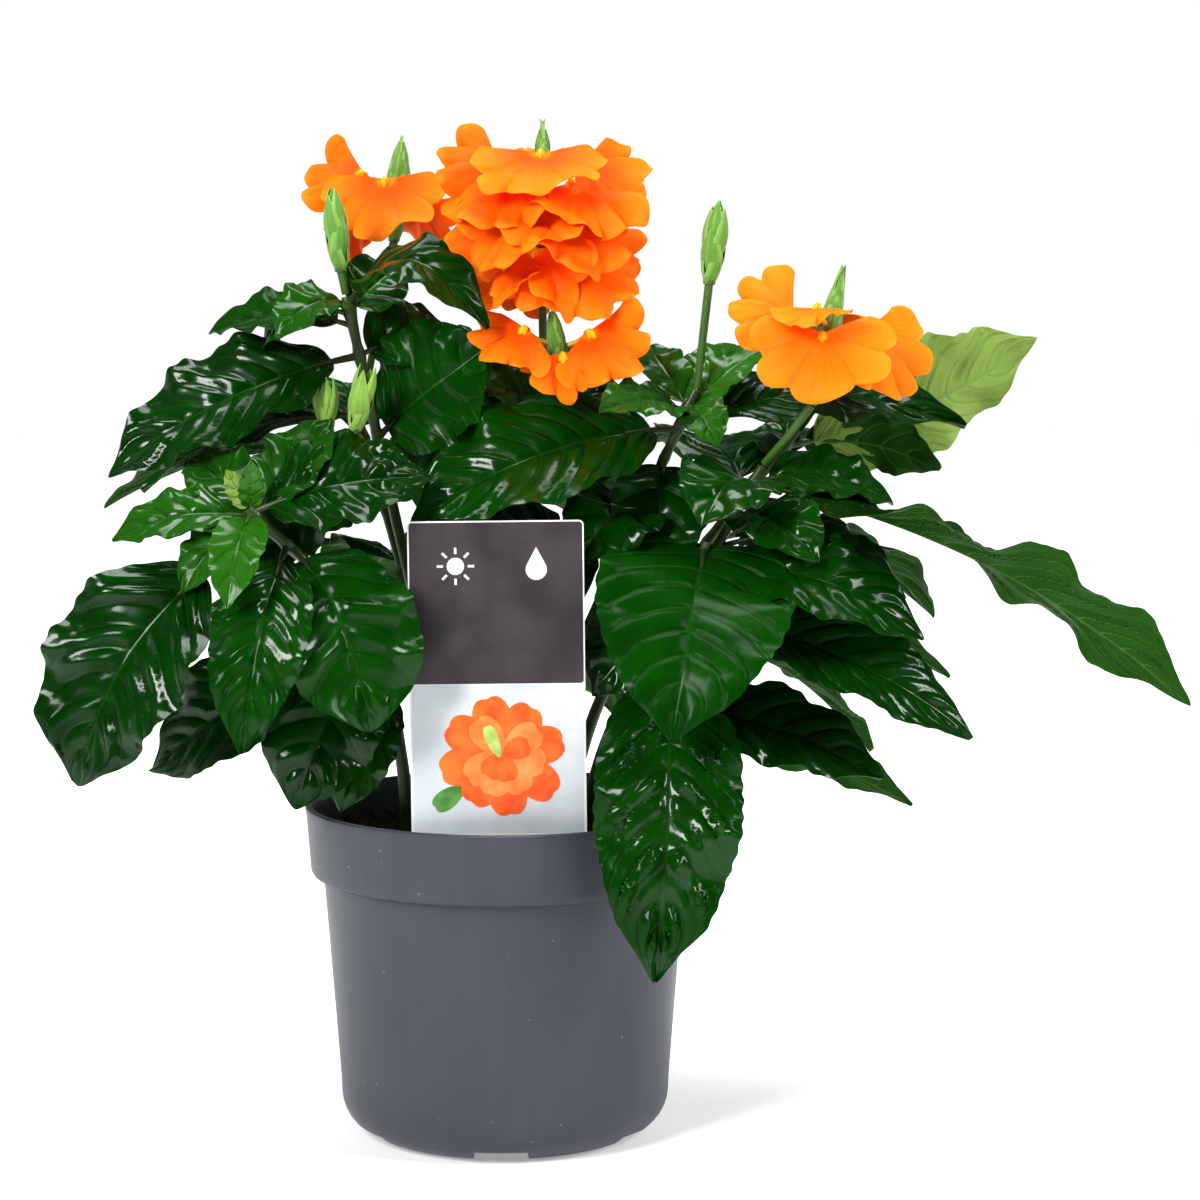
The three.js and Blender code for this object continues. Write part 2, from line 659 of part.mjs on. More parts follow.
    leaves: [
      { at: 0.98, tip: [53, -72, 138], width: 60, bow: 10, shape: "heart", petiole: 0.05, face: [0, -1, 0.6] },
      { at: 0.68, tip: [48, -68, 63], width: 45, bow: 19, face: [0.1, -1, 0.4] },
      { at: 0.5, tip: [42, -46, 131], width: 16, bow: 3, face: [0, -1, 0.5] },
      { at: 0.86, tip: [29, -41, 148], width: 30, bow: 6, face: [-0.2, -1, 0.5] },
      { at: 0.92, tip: [132, -43, 166], width: 32, bow: 12, face: [0, -0.8, 1] },
      { at: 0.8, tip: [148, -37, 134], width: 32, bow: 11, face: [0, -0.8, 1] },
      { at: 0.75, tip: [144, -10, 150], width: 28, bow: 12, face: [0, 0.5, 1] },
      { at: 0.5, tip: [120, -36, 121], width: 34, bow: 9, face: [0, -0.7, 1] },
      { at: 0.45, tip: [132, -14, 109], width: 26, bow: 8, face: [0, 0.8, 1] },
    ],
  },
  {
    name: "leafy_stem_back_right",
    stem: [[16, 16, 82], [32, 20, 140], [70, 25, 195], [97, 26, 228]],
    leaves: [
      { at: 0.96, tip: [177, 38, 258], width: 46, bow: -5, sway: -3, face: [-0.2, 1, 0.7] },
      { at: 0.97, tip: [144, 24, 215], width: 26, bow: 6, face: [0.2, 1, 0.8] },
      { at: 0.9, tip: [124, 80, 212], width: 38, bow: 11 },
      { at: 0.84, tip: [62, 94, 214], width: 40, bow: 12 },
      { at: 0.72, tip: [146, 58, 162], width: 42, bow: 14 },
      { at: 0.6, tip: [82, 96, 152], width: 42, bow: 14 },
      { at: 0.96, tip: [100, 56, 248], width: 22, bow: 4 },
      { at: 0.48, tip: [124, 44, 118], width: 38, bow: 12 },
    ],
  },
  {
    name: "leafy_stem_back_centre",
    stem: [[-2, 26, 82], [-3, 38, 150], [-1, 50, 205], [2, 58, 246]],
    leaves: [
      { at: 0.96, tip: [44, 72, 250], width: 28, bow: 8 },
      { at: 0.97, tip: [-30, 64, 258], width: 26, bow: 8 },
      { at: 0.93, tip: [8, 114, 226], width: 40, bow: 12 },
      { at: 0.86, tip: [-34, 108, 196], width: 40, bow: 13 },
      { at: 0.78, tip: [36, 112, 178], width: 42, bow: 13 },
      { at: 0.6, tip: [-6, 118, 142], width: 42, bow: 14 },
      { at: 0.46, tip: [42, 100, 116], width: 40, bow: 12 },
    ],
  },
  {
    name: "leafy_stem_back_left",
    stem: [[-16, 20, 82], [-24, 29, 140], [-38, 38, 190], [-50, 44, 230]],
    leaves: [
      { at: 0.96, tip: [-98, 40, 246], width: 30, bow: 7 },
      { at: 0.96, tip: [-62, 90, 238], width: 32, bow: 9 },
      { at: 0.88, tip: [-138, 54, 200], width: 42, bow: 13 },
      { at: 0.8, tip: [-98, 100, 188], width: 42, bow: 13 },
      { at: 0.66, tip: [-52, 112, 158], width: 42, bow: 14 },
      { at: 0.55, tip: [-130, 46, 148], width: 42, bow: 13 },
      { at: 0.42, tip: [-84, 92, 120], width: 40, bow: 13 },
    ],
  },
];

// Spikes run from their lowest bract to their point. A stalk leads up to the lowest bract.
const SPIKES = {
  spike_main: { base: [12.6, 0, 272], tip: [12.9, -1, 330], radius: 4.2, stalk: [[13.2, 2.2, 238.9]] },
  spike_left: { base: [-37, 31, 290], tip: [-34, 29, 325], radius: 4.2, stalk: [[-49.6, 43.6, 231], [-43, 37, 262]] },
  spike_right: { base: [98, -20, 238], tip: [108, -22, 283], radius: 4.2, stalk: [[83.6, -12.6, 218.9], [91, -17, 228]] },
  spike_low: { base: [19, -10, 246], tip: [16, -13, 267], radius: 3.4, stalk: [[15.8, -0.4, 231.5], [17.6, -5, 236]] },
  spike_bud_left: { base: [-51.5, -5, 280], tip: [-54, -7, 305], radius: 4.4, stalk: [[-50.2, -4.2, 272.8]] },
  spike_bud_right: { base: [66, -6, 276], tip: [69, -8, 301], radius: 4.4, stalk: [[62.4, -4.9, 243]] },
  spike_young_left: { base: [-56, -14, 229], tip: [-56, -15, 243], radius: 3.7, stalk: [[-43, -1.8, 217], [-52, -9, 219]] },
  spike_young_right: { base: [-47, -15, 229], tip: [-43, -17, 247], radius: 4.2, stalk: [[-42.6, -2.6, 222]] },
};

// A floret stands `rise` up its spike and `turn` round it. Its fan slopes down by `dip`.
const BLOOMS = {
  bloom_main: {
    around: "spike_main",
    core: 12.6,
    florets: [
      { rise: 40, turn: -92, dip: 30, size: 24, spread: 215 },
      { rise: 31, turn: -140, dip: 28, size: 26, bank: -15 },
      { rise: 31, turn: -38, dip: 26, size: 27, bank: 15 },
      { rise: 23, turn: -113, dip: 36, size: 27 },
      { rise: 22, turn: -62, dip: 34, size: 27 },
      { rise: 10, turn: -102, dip: 56, size: 23, spread: 190 },
      { rise: 8, turn: -42, dip: 46, size: 25, reach: 13, bank: 18 },
      { rise: 37, turn: -170, dip: 10, size: 22, reach: 14, bank: -55 },
      { rise: 37, turn: -10, dip: 24, size: 24, reach: 13, bank: 40 },
      { rise: 20, turn: -176, dip: 34, size: 25, reach: 12, bank: -42 },
      { rise: 17, turn: -5, dip: 34, size: 25, reach: 12, bank: 42 },
      { rise: 37, turn: 96, dip: -20, size: 22 },
      { rise: 27, turn: 132, dip: 36, size: 25 },
      { rise: 27, turn: 55, dip: 36, size: 25 },
      { rise: 10, turn: 92, dip: 56, size: 24 },
      { rise: 9, turn: -148, dip: 44, size: 23, bank: -20 },
    ],
  },
  bloom_left: {
    around: "spike_left",
    florets: [
      { rise: 15, turn: -105, dip: 56, size: 24, spread: 200 },
      { rise: 17, turn: -170, dip: 20, size: 22, bank: -45 },
      { rise: 8, turn: 160, dip: 62, size: 23 },
      { rise: 9, turn: 60, dip: 50, size: 20 },
    ],
  },
  bloom_right: {
    around: "spike_right",
    florets: [
      { rise: 18, turn: -97, dip: 52, size: 25, spread: 236 },
      { rise: 24, turn: 178, dip: -6, size: 22, bank: -55 },
      { rise: 26, turn: -120, dip: 6, size: 17, reach: 8 },
      { rise: 19, turn: -6, dip: 42, size: 26, reach: 13, bank: 35 },
      { rise: 24, turn: 95, dip: 15, size: 20 },
    ],
  },
  bloom_low: {
    around: "spike_low",
    florets: [
      { rise: 10, turn: -28, dip: 34, size: 22, bank: 40 },
      { rise: 11, turn: -150, dip: 30, size: 19, bank: -35 },
      { rise: 3, turn: -85, dip: 66, size: 15 },
    ],
  },
};

// ---------------------------------------------------------------------------
// Assembly.
// ---------------------------------------------------------------------------

const finish = (colour, roughness) => new THREE.MeshStandardMaterial({
  color: colour, roughness, metalness: 0,
});

function named(name, solid, material) {
  const mesh = new THREE.Mesh(geometryOf(solid), material);
  mesh.name = name;
  return mesh;
}

const crossandra = new THREE.Group();
crossandra.add(named("pot", potSolid(), finish(COLOURS.pot, 0.45)));
crossandra.add(named("soil", soilSolid(SHOOTS), finish(COLOURS.soil, 0.95)));
crossandra.add(named("label", solidOf(labelBody()), finish(COLOURS.label, 0.3)));

const leafFinish = finish(COLOURS.leaf, 0.25);
for (const shoot of SHOOTS) {
  crossandra.add(named(shoot.name, leafyStem(shoot), leafFinish));
}

const spikeFinish = finish(COLOURS.spike, 0.6);
for (const [name, spike] of Object.entries(SPIKES)) {
  crossandra.add(named(name, spikeSolid(spike), spikeFinish));
}

const bloomFinish = finish(COLOURS.bloom, 0.5);
for (const [name, bloom] of Object.entries(BLOOMS)) {
  crossandra.add(named(name, bloomSolid(bloom, SPIKES[bloom.around]), bloomFinish));
}

export default crossandra;
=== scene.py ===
import math
import random

import bpy
import numpy as np
from mathutils import Euler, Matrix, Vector, noise


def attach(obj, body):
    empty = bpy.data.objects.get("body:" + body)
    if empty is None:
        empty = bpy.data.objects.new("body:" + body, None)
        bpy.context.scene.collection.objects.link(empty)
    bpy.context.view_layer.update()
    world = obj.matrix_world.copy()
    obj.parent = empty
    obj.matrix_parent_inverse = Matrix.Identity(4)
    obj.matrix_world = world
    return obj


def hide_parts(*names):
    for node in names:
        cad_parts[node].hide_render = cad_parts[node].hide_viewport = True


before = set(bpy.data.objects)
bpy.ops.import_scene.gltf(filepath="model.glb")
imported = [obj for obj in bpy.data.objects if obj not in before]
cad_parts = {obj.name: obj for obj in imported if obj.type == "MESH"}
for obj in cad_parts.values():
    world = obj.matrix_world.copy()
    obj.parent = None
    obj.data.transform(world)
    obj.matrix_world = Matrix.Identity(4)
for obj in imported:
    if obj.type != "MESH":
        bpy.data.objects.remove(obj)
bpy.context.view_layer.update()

# ---------------------------------------------------------------------------
# Sizes, in millimetres and degrees. The origin is the centre of the pot's base,
# +Z is up, and -Y is the front, where the label stands.
# ---------------------------------------------------------------------------

MM = 0.001

# Pot, with its foot notches and drain holes.
POT_SIDES = 144
POT_SHARP = 28
NOTCHES = 6
NOTCH_WIDTH = 18
NOTCH_TAPER = 0.6
NOTCH_HEIGHT = 4.2
NOTCH_REACH = (32.5, 56)
DRAIN_RADIUS = 4
DRAIN_CIRCLE = 26

# Soil. Its lumps are given by how many there are to a millimetre and how high they are.
SOIL_LEVEL = 97
SOIL_LUMPS = ((0.075, 1.5), (0.35, 0.5), (1.1, 0.25))
SOIL_SIDES = 110
SOIL_RINGS = 44

# Crumbs to a square metre, their radius, and the least and most that each is stretched by.
CRUMB_DENSITY = 110000.0
CRUMB_RADIUS = 1.3
CRUMB_LEAST = (0.25, 0.25, 0.2)
CRUMB_MOST = (1.5, 0.95, 0.75)

# Label. CARD_FACE is how far the card's front is from its middle.
LABEL_WIDTH = 54.6
LABEL_TOP = 203.4
LABEL_TAPER = 92
CARD_FACE = 0.35
LABEL_CORNER = 1.5
LABEL_STAKE = 4.5
LABEL_FRONT = -49
LABEL_LEAN = 1.4
LABEL_TURN = -0.6
PANEL_HEIGHT = 50.6
PICTURE_FOOT = 106
SIGN_ASIDE = 12.5
SIGN_DROP = 14
PRINT_FILM = 0.06
PRINT_LAP = 0.01
LAYER_STEP = 0.012

# Stems and stalks. A stem thickens by NODE_SWELL where a leaf grows, over NODE_REACH of its length.
CURVE_STEPS = 60
STEM_BASE = 2.3
STEM_TIP = 1.5
STEM_SIDES = 10
NODE_SWELL = 0.35
NODE_REACH = 0.012
STALK_RADIUS = 1.25

# Blades: waves, frill, fold, sag and puckers are shares of a width.
BLADE_ROWS = 88
BLADE_COLUMNS = 28
SMALL_LEAF = 20
BLADE_HALF = 0.2
BLADE_WAVES = 3.5
BLADE_WAVE = 0.055
BLADE_FRILL = 0.22
BLADE_FOLD = 0.16
BLADE_SAG = 0.026
TEETH = 0.35
DRIP_TIP = 0.4
VEIN_LEAN = 0.34
VEIN_CURVE = 1.5
VEIN_GAP = 11
PUCKER = 0.055
VEIN_MARK = 20
GROOVE_DEPTH = 0.35
RIB_HEIGHT = 0.9
RIB_REACH = 1.1
HEART_SHOULDER = 0.1

# How a blade widens from its foot and narrows to its tip.
OUTLINES = {"ovate": (0.6, 0.76), "broad": (0.6, 0.62), "heart": (0.4, 0.78)}

# Florets: notch, lift, cup, crease, ruffle, frill and flutter are shares of a fan's size.
LOBES = 5
LOBE_NOTCH = 0.2
LOBE_LIFT = 0.12
LOBE_CUP = 0.03
LOBE_CREASE = 0.035
FAN_STEPS = 70
FAN_RINGS = 14
FAN_HALF = 0.15
FAN_SPREAD = 170
FAN_RUFFLE = 0.1
FAN_FRILL = 0.05
FAN_FLUTTER = 0.02
FRESH_CALM = 0.45
THROAT_REACH = 11
THROAT_LIFT = 5
TUBE_BEND = 5

# Spikes: young ones open at the point, the others close.
BRACT_GAP = 2.9
BRACT_HALF = 0.16
BRACT_ROWS = 9
BRACT_COLUMNS = 7
BRACT_CLOSING = -0.2
BRACT_OPENING = 0.1
PAIR_TURN = math.pi / 2 + 0.09
SPIKE_START = 0.24
SPIKE_POWER = 0.9
SPIKE_LEAST = 0.12

FULL_TURN = 2 * math.pi


# ---------------------------------------------------------------------------
# The plant, as in its solids. Stems are points from their foot in the soil to
# their tip. A leaf grows from a share of its stem's length to its tip.
# ---------------------------------------------------------------------------

SHOOTS = [
  {
    "name": "leafy_stem_front_left",
    "stem": [(-30, -22, 82), (-32, -24, 125), (-42, -32, 168), (-78, -45, 207)],
    "leaves": [
      dict(at=0.93, tip=(-129, -62, 123), width=50, pucker=1.2, bow=14, sway=5, shape="broad", petiole=0.24,
           face=(-0.2, -1, 0.8)),
      dict(at=0.88, tip=(-77, -76, 135), width=29, bow=12, face=(0, -1, 0.6)),
      dict(at=0.87, tip=(-39, -64, 140), width=44, shape="broad", bow=11, sway=-3, face=(0.1, -1, 0.7)),
      dict(at=0.5, tip=(-50, -44, 112), width=24, bow=5, face=(0, -1, 0.6)),
      dict(at=0.6, tip=(-64, -46, 113), width=38, bow=7, face=(0, -1, 0.8)),
      dict(at=0.68, tip=(-112, -26, 122), width=36, bow=8, sway=-6, face=(-0.3, -1, 0.7)),
      dict(at=0.985, tip=(-81, -75, 179), width=16, bow=6, face=(0, -1, 1)),
      dict(at=0.97, tip=(-96, -60, 182), width=18, bow=5, face=(-0.3, -1, 1)),
      dict(at=0.97, tip=(-120, -44, 197), width=20, bow=6, face=(0, -0.8, 1)),
      dict(at=0.985, tip=(-21, -38, 216), width=37, pucker=1.6, bow=5, face=(0, -0.9, 1)),
      dict(at=0.96, tip=(-98, -22, 222), width=22, bow=4, face=(0, -0.9, 1)),
      dict(at=0.97, tip=(-53, -28, 234), width=22, bow=2, face=(-0.4, -1, 0.6)),
      dict(at=0.99, tip=(-76, -50, 222), width=7, bow=1, face=(0.3, -1, 0.2)),
      dict(at=0.99, tip=(-84, -46, 219), width=6, bow=1, face=(-0.3, 1, 0.2)),
    ],
  },
  {
    "name": "leafy_stem_upper_left",
    "stem": [(-15, 5, 82), (-20, 4, 130), (-36, 0, 205), (-50, -4, 272)],
    "leaves": [
      dict(at=0.9, tip=(-125, -18, 215), width=40, pucker=1.2, wave=0.07, bow=8, face=(0, -0.8, 1)),
      dict(at=0.8, tip=(-118, 6, 209), width=28, bow=9, face=(0, -0.4, 1)),
      dict(at=0.95, tip=(-96, 10, 260), width=24, bow=6, face=(0, -0.6, 1)),
      dict(at=0.985, tip=(-71, -20, 259), width=20, bow=7, face=(-0.3, -1, 1)),
      dict(at=0.97, tip=(-78, 2, 253), width=22, bow=9, face=(-0.3, -0.6, 1)),
      dict(at=0.975, tip=(-34, 8, 281), width=22, bow=3, face=(0, -1, 0.6)),
      dict(at=0.9, tip=(-20, 11, 263), width=26, bow=3, face=(0, -1, 0.5)),
      dict(at=0.985, tip=(-4, -25, 262), width=26, bow=20, face=(0, -0.6, 1)),
      dict(at=0.76, tip=(-3, -13, 257), width=44, matt=1.2, pucker=0.6, bow=3, face=(-0.2, -1, 0.5)),
      dict(at=0.7, tip=(-78, -20, 182), width=34, bow=8, face=(-0.3, -0.8, 1)),
    ],
  },
  {
    "name": "leafy_stem_centre",
    "stem": [(0, 8, 82), (2, 8, 140), (8, 5, 195), (13, 2, 238)],
    "leaves": [
      dict(at=0.96, tip=(-14, -10, 245), width=21, bow=6, face=(-0.2, -0.8, 1)),
      dict(at=0.93, tip=(42, 20, 240), width=24, bow=7, face=(0.2, -0.6, 1)),
      dict(at=0.8, tip=(-18, -36, 188), width=40, bow=8, face=(0, -1, 0.6)),
      dict(at=0.72, tip=(24, -36, 174), width=32, bow=8, face=(0, -1, 0.6)),
      dict(at=0.45, tip=(-18, -42, 130), width=28, bow=8, face=(0, -1, 0.6)),
      dict(at=0.82, tip=(44, 46, 186), width=38, bow=10, face=(0.3, 0.3, 1)),
      dict(at=0.8, tip=(-34, 26, 172), width=32, bow=10, face=(-0.5, 0.2, 1)),
      dict(at=0.95, tip=(-38, 12, 212), width=34, bow=9, face=(-0.2, -1, 0.8)),
      dict(at=0.9, tip=(0, 26, 252), width=30, bow=4, face=(0, -1, 0.6)),
    ],
  },
  {
    "name": "leafy_stem_right_centre",
    "stem": [(8, -8, 82), (14, -9, 130), (38, -8, 190), (62, -5, 242)],
    "leaves": [
      dict(at=0.92, tip=(-28, -36, 202), width=44, matt=0.5, pucker=0.9, bow=10, face=(0, -0.9, 1)),
      dict(at=0.955, tip=(31, -41, 237), width=20, bow=4, face=(0, -0.9, 1)),
      dict(at=0.96, tip=(76, 20, 256), width=17, bow=4, face=(0, -0.5, 1)),
      dict(at=0.965, tip=(68, -27, 225), width=15, bow=5, face=(0, -1, 1)),
      dict(at=0.95, tip=(85, 6, 255), width=14, bow=3, face=(0, -0.6, 1)),
      dict(at=0.96, tip=(44, 14, 256), width=15, bow=4, face=(0, -0.6, 1)),
      dict(at=0.75, tip=(24, -42, 189), width=30, bow=8, face=(0, -1, 1)),
      dict(at=0.93, tip=(150, 6, 230), width=32, bow=7, sway=-7, face=(0, -0.6, 1)),
      dict(at=0.86, tip=(47, -28, 184), width=30, bow=6, face=(0.1, -1, 0.5)),
    ],
  },
  {
    "name": "leafy_stem_right",
    "stem": [(22, -2, 82), (34, -4, 130), (62, -9, 180), (83, -12, 218)],
    "leaves": [
      dict(at=0.96, tip=(216, -40, 145), width=44, wave=0.1, bow=13, twist=-90, face=(0, -0.5, 1)),
      dict(at=0.95, tip=(62, -48, 202), width=32, bow=8, face=(0, -0.8, 1)),
      dict(at=0.96, tip=(126, -2, 205), width=26, bow=7, face=(0, -0.6, 1)),
      dict(at=0.88, tip=(99, -44, 190), width=26, bow=7, face=(0, -0.8, 1)),
      dict(at=0.8, tip=(129, -15, 176), width=28, bow=12, face=(0, -0.4, 1)),
    ],
  },
  {
    "name": "leafy_stem_lower_right",
    "stem": [(28, -16, 82), (38, -19, 120), (52, -24, 158), (65, -28, 195)],
    "leaves": [
      dict(at=0.98, tip=(53, -72, 138), width=60, pucker=0.2, wave=0.025, matt=1, bow=10, shape="heart",
           petiole=0.05, face=(0, -1, 0.6)),
      dict(at=0.68, tip=(48, -68, 63), width=45, pucker=2, wave=0.07, bow=19, face=(0.1, -1, 0.4)),
      dict(at=0.5, tip=(42, -46, 131), width=16, bow=3, face=(0, -1, 0.5)),
      dict(at=0.86, tip=(29, -41, 148), width=30, bow=6, face=(-0.2, -1, 0.5)),
      dict(at=0.92, tip=(132, -43, 166), width=32, bow=12, face=(0, -0.8, 1)),
      dict(at=0.8, tip=(148, -37, 134), width=32, bow=11, face=(0, -0.8, 1)),
      dict(at=0.75, tip=(144, -10, 150), width=28, bow=12, face=(0, 0.5, 1)),
      dict(at=0.5, tip=(120, -36, 121), width=34, bow=9, face=(0, -0.7, 1)),
      dict(at=0.45, tip=(132, -14, 109), width=26, bow=8, face=(0, 0.8, 1)),
    ],
  },
  {
    "name": "leafy_stem_back_right",
    "stem": [(16, 16, 82), (32, 20, 140), (70, 25, 195), (97, 26, 228)],
    "leaves": [
      # young=1 here also paints light shining through this leaf: its underside takes the pale young colour.
      dict(at=0.96, tip=(177, 38, 258), width=46, young=1, bow=-5, sway=-3, face=(-0.2, 1, 0.7)),
      dict(at=0.97, tip=(144, 24, 215), width=26, young=0.5, bow=6, face=(0.2, 1, 0.8)),
      dict(at=0.9, tip=(124, 80, 212), width=38, bow=11),
      dict(at=0.84, tip=(62, 94, 214), width=40, bow=12),
      dict(at=0.72, tip=(146, 58, 162), width=42, bow=14),
      dict(at=0.6, tip=(82, 96, 152), width=42, bow=14),
      dict(at=0.96, tip=(100, 56, 248), width=22, bow=4),
      dict(at=0.48, tip=(124, 44, 118), width=38, bow=12),
    ],
  },
  {
    "name": "leafy_stem_back_centre",
    "stem": [(-2, 26, 82), (-3, 38, 150), (-1, 50, 205), (2, 58, 246)],
    "leaves": [
      dict(at=0.96, tip=(44, 72, 250), width=28, bow=8),
      dict(at=0.97, tip=(-30, 64, 258), width=26, bow=8),
      dict(at=0.93, tip=(8, 114, 226), width=40, bow=12),
      dict(at=0.86, tip=(-34, 108, 196), width=40, bow=13),
      dict(at=0.78, tip=(36, 112, 178), width=42, bow=13),
      dict(at=0.6, tip=(-6, 118, 142), width=42, bow=14),
      dict(at=0.46, tip=(42, 100, 116), width=40, bow=12),
    ],
  },
  {
    "name": "leafy_stem_back_left",
    "stem": [(-16, 20, 82), (-24, 29, 140), (-38, 38, 190), (-50, 44, 230)],
    "leaves": [
      dict(at=0.96, tip=(-98, 40, 246), width=30, bow=7),
      dict(at=0.96, tip=(-62, 90, 238), width=32, bow=9),
      dict(at=0.88, tip=(-138, 54, 200), width=42, bow=13),
      dict(at=0.8, tip=(-98, 100, 188), width=42, bow=13),
      dict(at=0.66, tip=(-52, 112, 158), width=42, bow=14),
      dict(at=0.55, tip=(-130, 46, 148), width=42, bow=13),
      dict(at=0.42, tip=(-84, 92, 120), width=40, bow=13),
    ],
  },
]

# Spikes run from their lowest bract to their point. A stalk leads up to the lowest bract.
SPIKES = {
  "spike_main": dict(base=(12.6, 0, 272), tip=(12.9, -1, 330), radius=4.2, stalk=[(13.2, 2.2, 238.9)]),
  "spike_left": dict(base=(-37, 31, 290), tip=(-34, 29, 325), radius=4.2,
                     stalk=[(-49.6, 43.6, 231), (-43, 37, 262)]),
  "spike_right": dict(base=(98, -20, 238), tip=(108, -22, 283), radius=4.2,
                      stalk=[(83.6, -12.6, 218.9), (91, -17, 228)]),
  "spike_low": dict(base=(19, -10, 246), tip=(16, -13, 267), radius=3.4,
                    stalk=[(15.8, -0.4, 231.5), (17.6, -5, 236)]),
  "spike_bud_left": dict(base=(-51.5, -5, 280), tip=(-54, -7, 305), radius=4.4, stalk=[(-50.2, -4.2, 272.8)]),
  "spike_bud_right": dict(base=(66, -6, 276), tip=(69, -8, 301), radius=4.4, stalk=[(62.4, -4.9, 243)]),
  "spike_young_left": dict(base=(-56, -14, 229), tip=(-56, -15, 243), radius=3.7, young=True,
                           stalk=[(-43, -1.8, 217), (-52, -9, 219)]),
  "spike_young_right": dict(base=(-47, -15, 229), tip=(-43, -17, 247), radius=4.2, young=True,
                            stalk=[(-42.6, -2.6, 222)]),
}

# A floret stands `rise` up its spike and `turn` round it. Its fan slopes down by `dip`.
BLOOMS = {
  "bloom_main": {
    "around": "spike_main",
    "florets": [
      dict(rise=40, turn=-92, dip=30, size=24, spread=215),
      dict(rise=31, turn=-140, dip=28, size=26, bank=-15),
      dict(rise=31, turn=-38, dip=26, size=27, bank=15),
      dict(rise=23, turn=-113, dip=36, size=27),
      dict(rise=22, turn=-62, dip=34, size=27),
      dict(rise=10, turn=-102, dip=56, size=23, spread=190),
      dict(rise=8, turn=-42, dip=46, size=25, reach=13, bank=18),
      dict(rise=37, turn=-170, dip=10, size=22, reach=14, bank=-55),
      dict(rise=37, turn=-10, dip=24, size=24, reach=13, bank=40),
      dict(rise=20, turn=-176, dip=34, size=25, reach=12, bank=-42),
      dict(rise=17, turn=-5, dip=34, size=25, reach=12, bank=42),
      dict(rise=37, turn=96, dip=-20, size=22),
      dict(rise=27, turn=132, dip=36, size=25),
      dict(rise=27, turn=55, dip=36, size=25),
      dict(rise=10, turn=92, dip=56, size=24),
      dict(rise=9, turn=-148, dip=44, size=23, bank=-20),
    ],
  },
  "bloom_left": {
    "around": "spike_left",
    "florets": [
      dict(rise=15, turn=-105, dip=56, size=24, spread=200),
      dict(rise=17, turn=-170, dip=20, size=22, bank=-45),
      dict(rise=8, turn=160, dip=62, size=23),
      dict(rise=9, turn=60, dip=50, size=20),
    ],
  },
  "bloom_right": {
    "around": "spike_right",
    "fresh": 1,
    "florets": [
      dict(rise=18, turn=-97, dip=52, size=25, spread=236),
      dict(rise=24, turn=178, dip=-6, size=22, bank=-55),
      dict(rise=26, turn=-120, dip=6, size=17, reach=8),
      dict(rise=19, turn=-6, dip=42, size=26, reach=13, bank=35),
      dict(rise=24, turn=95, dip=15, size=20),
    ],
  },
  "bloom_low": {
    "around": "spike_low",
    "florets": [
      dict(rise=10, turn=-28, dip=34, size=22, bank=40),
      dict(rise=11, turn=-150, dip=30, size=19, bank=-35),
      dict(rise=3, turn=-85, dip=66, size=15),
    ],
  },
}


# ---------------------------------------------------------------------------
# Meshes. A skin gathers points, faces, maps and marks for one piece.
# ---------------------------------------------------------------------------


class Skin:
    def __init__(self):
        self.points = []
        self.maps = []
        self.marks = []
        self.faces = []
        self.finishes = []
        self.count = 0

    def add(self, points, faces, maps=None, mark=(0, 0, 0, 0), finish=0):
        """Adds points in mm, with a map of the same length and one mark or a mark for each point."""
        points = np.asarray(points, float).reshape(-1, 3)
        self.points.append(points)
        self.maps.append(np.zeros((len(points), 2)) if maps is None else np.asarray(maps).reshape(-1, 2))
        self.marks.append(np.broadcast_to(np.asarray(mark, float), (len(points), 4)))
        self.faces.extend([tuple(corner + self.count for corner in face) for face in faces])
        self.finishes.extend([finish] * len(faces))
        self.count += len(points)

    def piece(self, name, finishes, sharp=50):
        mesh = bpy.data.meshes.new(name)
        mesh.from_pydata(np.concatenate(self.points) * MM, [], self.faces)
        corners = np.zeros(len(mesh.loops), np.int32)
        mesh.loops.foreach_get("vertex_index", corners)
        chart = mesh.uv_layers.new(name="chart")
        chart.uv.foreach_set("vector", np.concatenate(self.maps)[corners].astype(np.float32).ravel())
        marks = mesh.attributes.new("marks", "FLOAT_COLOR", "POINT")
        marks.data.foreach_set("color", np.concatenate(self.marks).astype(np.float32).ravel())
        for finish in finishes:
            mesh.materials.append(finish)
        mesh.polygons.foreach_set("material_index", np.array(self.finishes, np.int32))
        mesh.polygons.foreach_set("use_smooth", np.ones(len(self.faces), bool))
        mesh.set_sharp_from_angle(angle=math.radians(sharp))
        mesh.validate()
        made = bpy.data.objects.new(name, mesh)
        bpy.context.scene.collection.objects.link(made)
        return made


def settle(piece, slot, *nodes):
    """Fixes a finished piece to the plant and hides the imported solids that it stands for."""
    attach(piece, "root")
    if nodes:
        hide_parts(*nodes)


def grid_faces(rows, columns, start=0, flip=False):
    """Quads over rows x columns points, facing up for points that run along, then left to right."""
    faces = []
    for row in range(rows - 1):
        for column in range(columns - 1):
            a = start + row * columns + column
            quad = (a, a + 1, a + columns + 1, a + columns)
            faces.append(quad[::-1] if flip else quad)
    return faces


def sheet_faces(rows, columns):
    """Faces of a thin closed body: an upper grid, then a lower grid of the same size."""
    under = rows * columns
    faces = grid_faces(rows, columns) + grid_faces(rows, columns, under, flip=True)
    for row in range(rows - 1):
        left = row * columns
        right = left + columns - 1
        faces.append((left, left + columns, under + left + columns, under + left))
        faces.append((right + columns, right, under + right, under + right + columns))
    for column in range(columns - 1):
        far = (rows - 1) * columns + column
        faces.append((column + 1, column, under + column, under + column + 1))
        faces.append((far, far + 1, under + far + 1, under + far))
    return faces


def unit(vectors):
    vectors = np.asarray(vectors, float)
    return vectors / np.maximum(np.linalg.norm(vectors, axis=-1, keepdims=True), 1e-12)


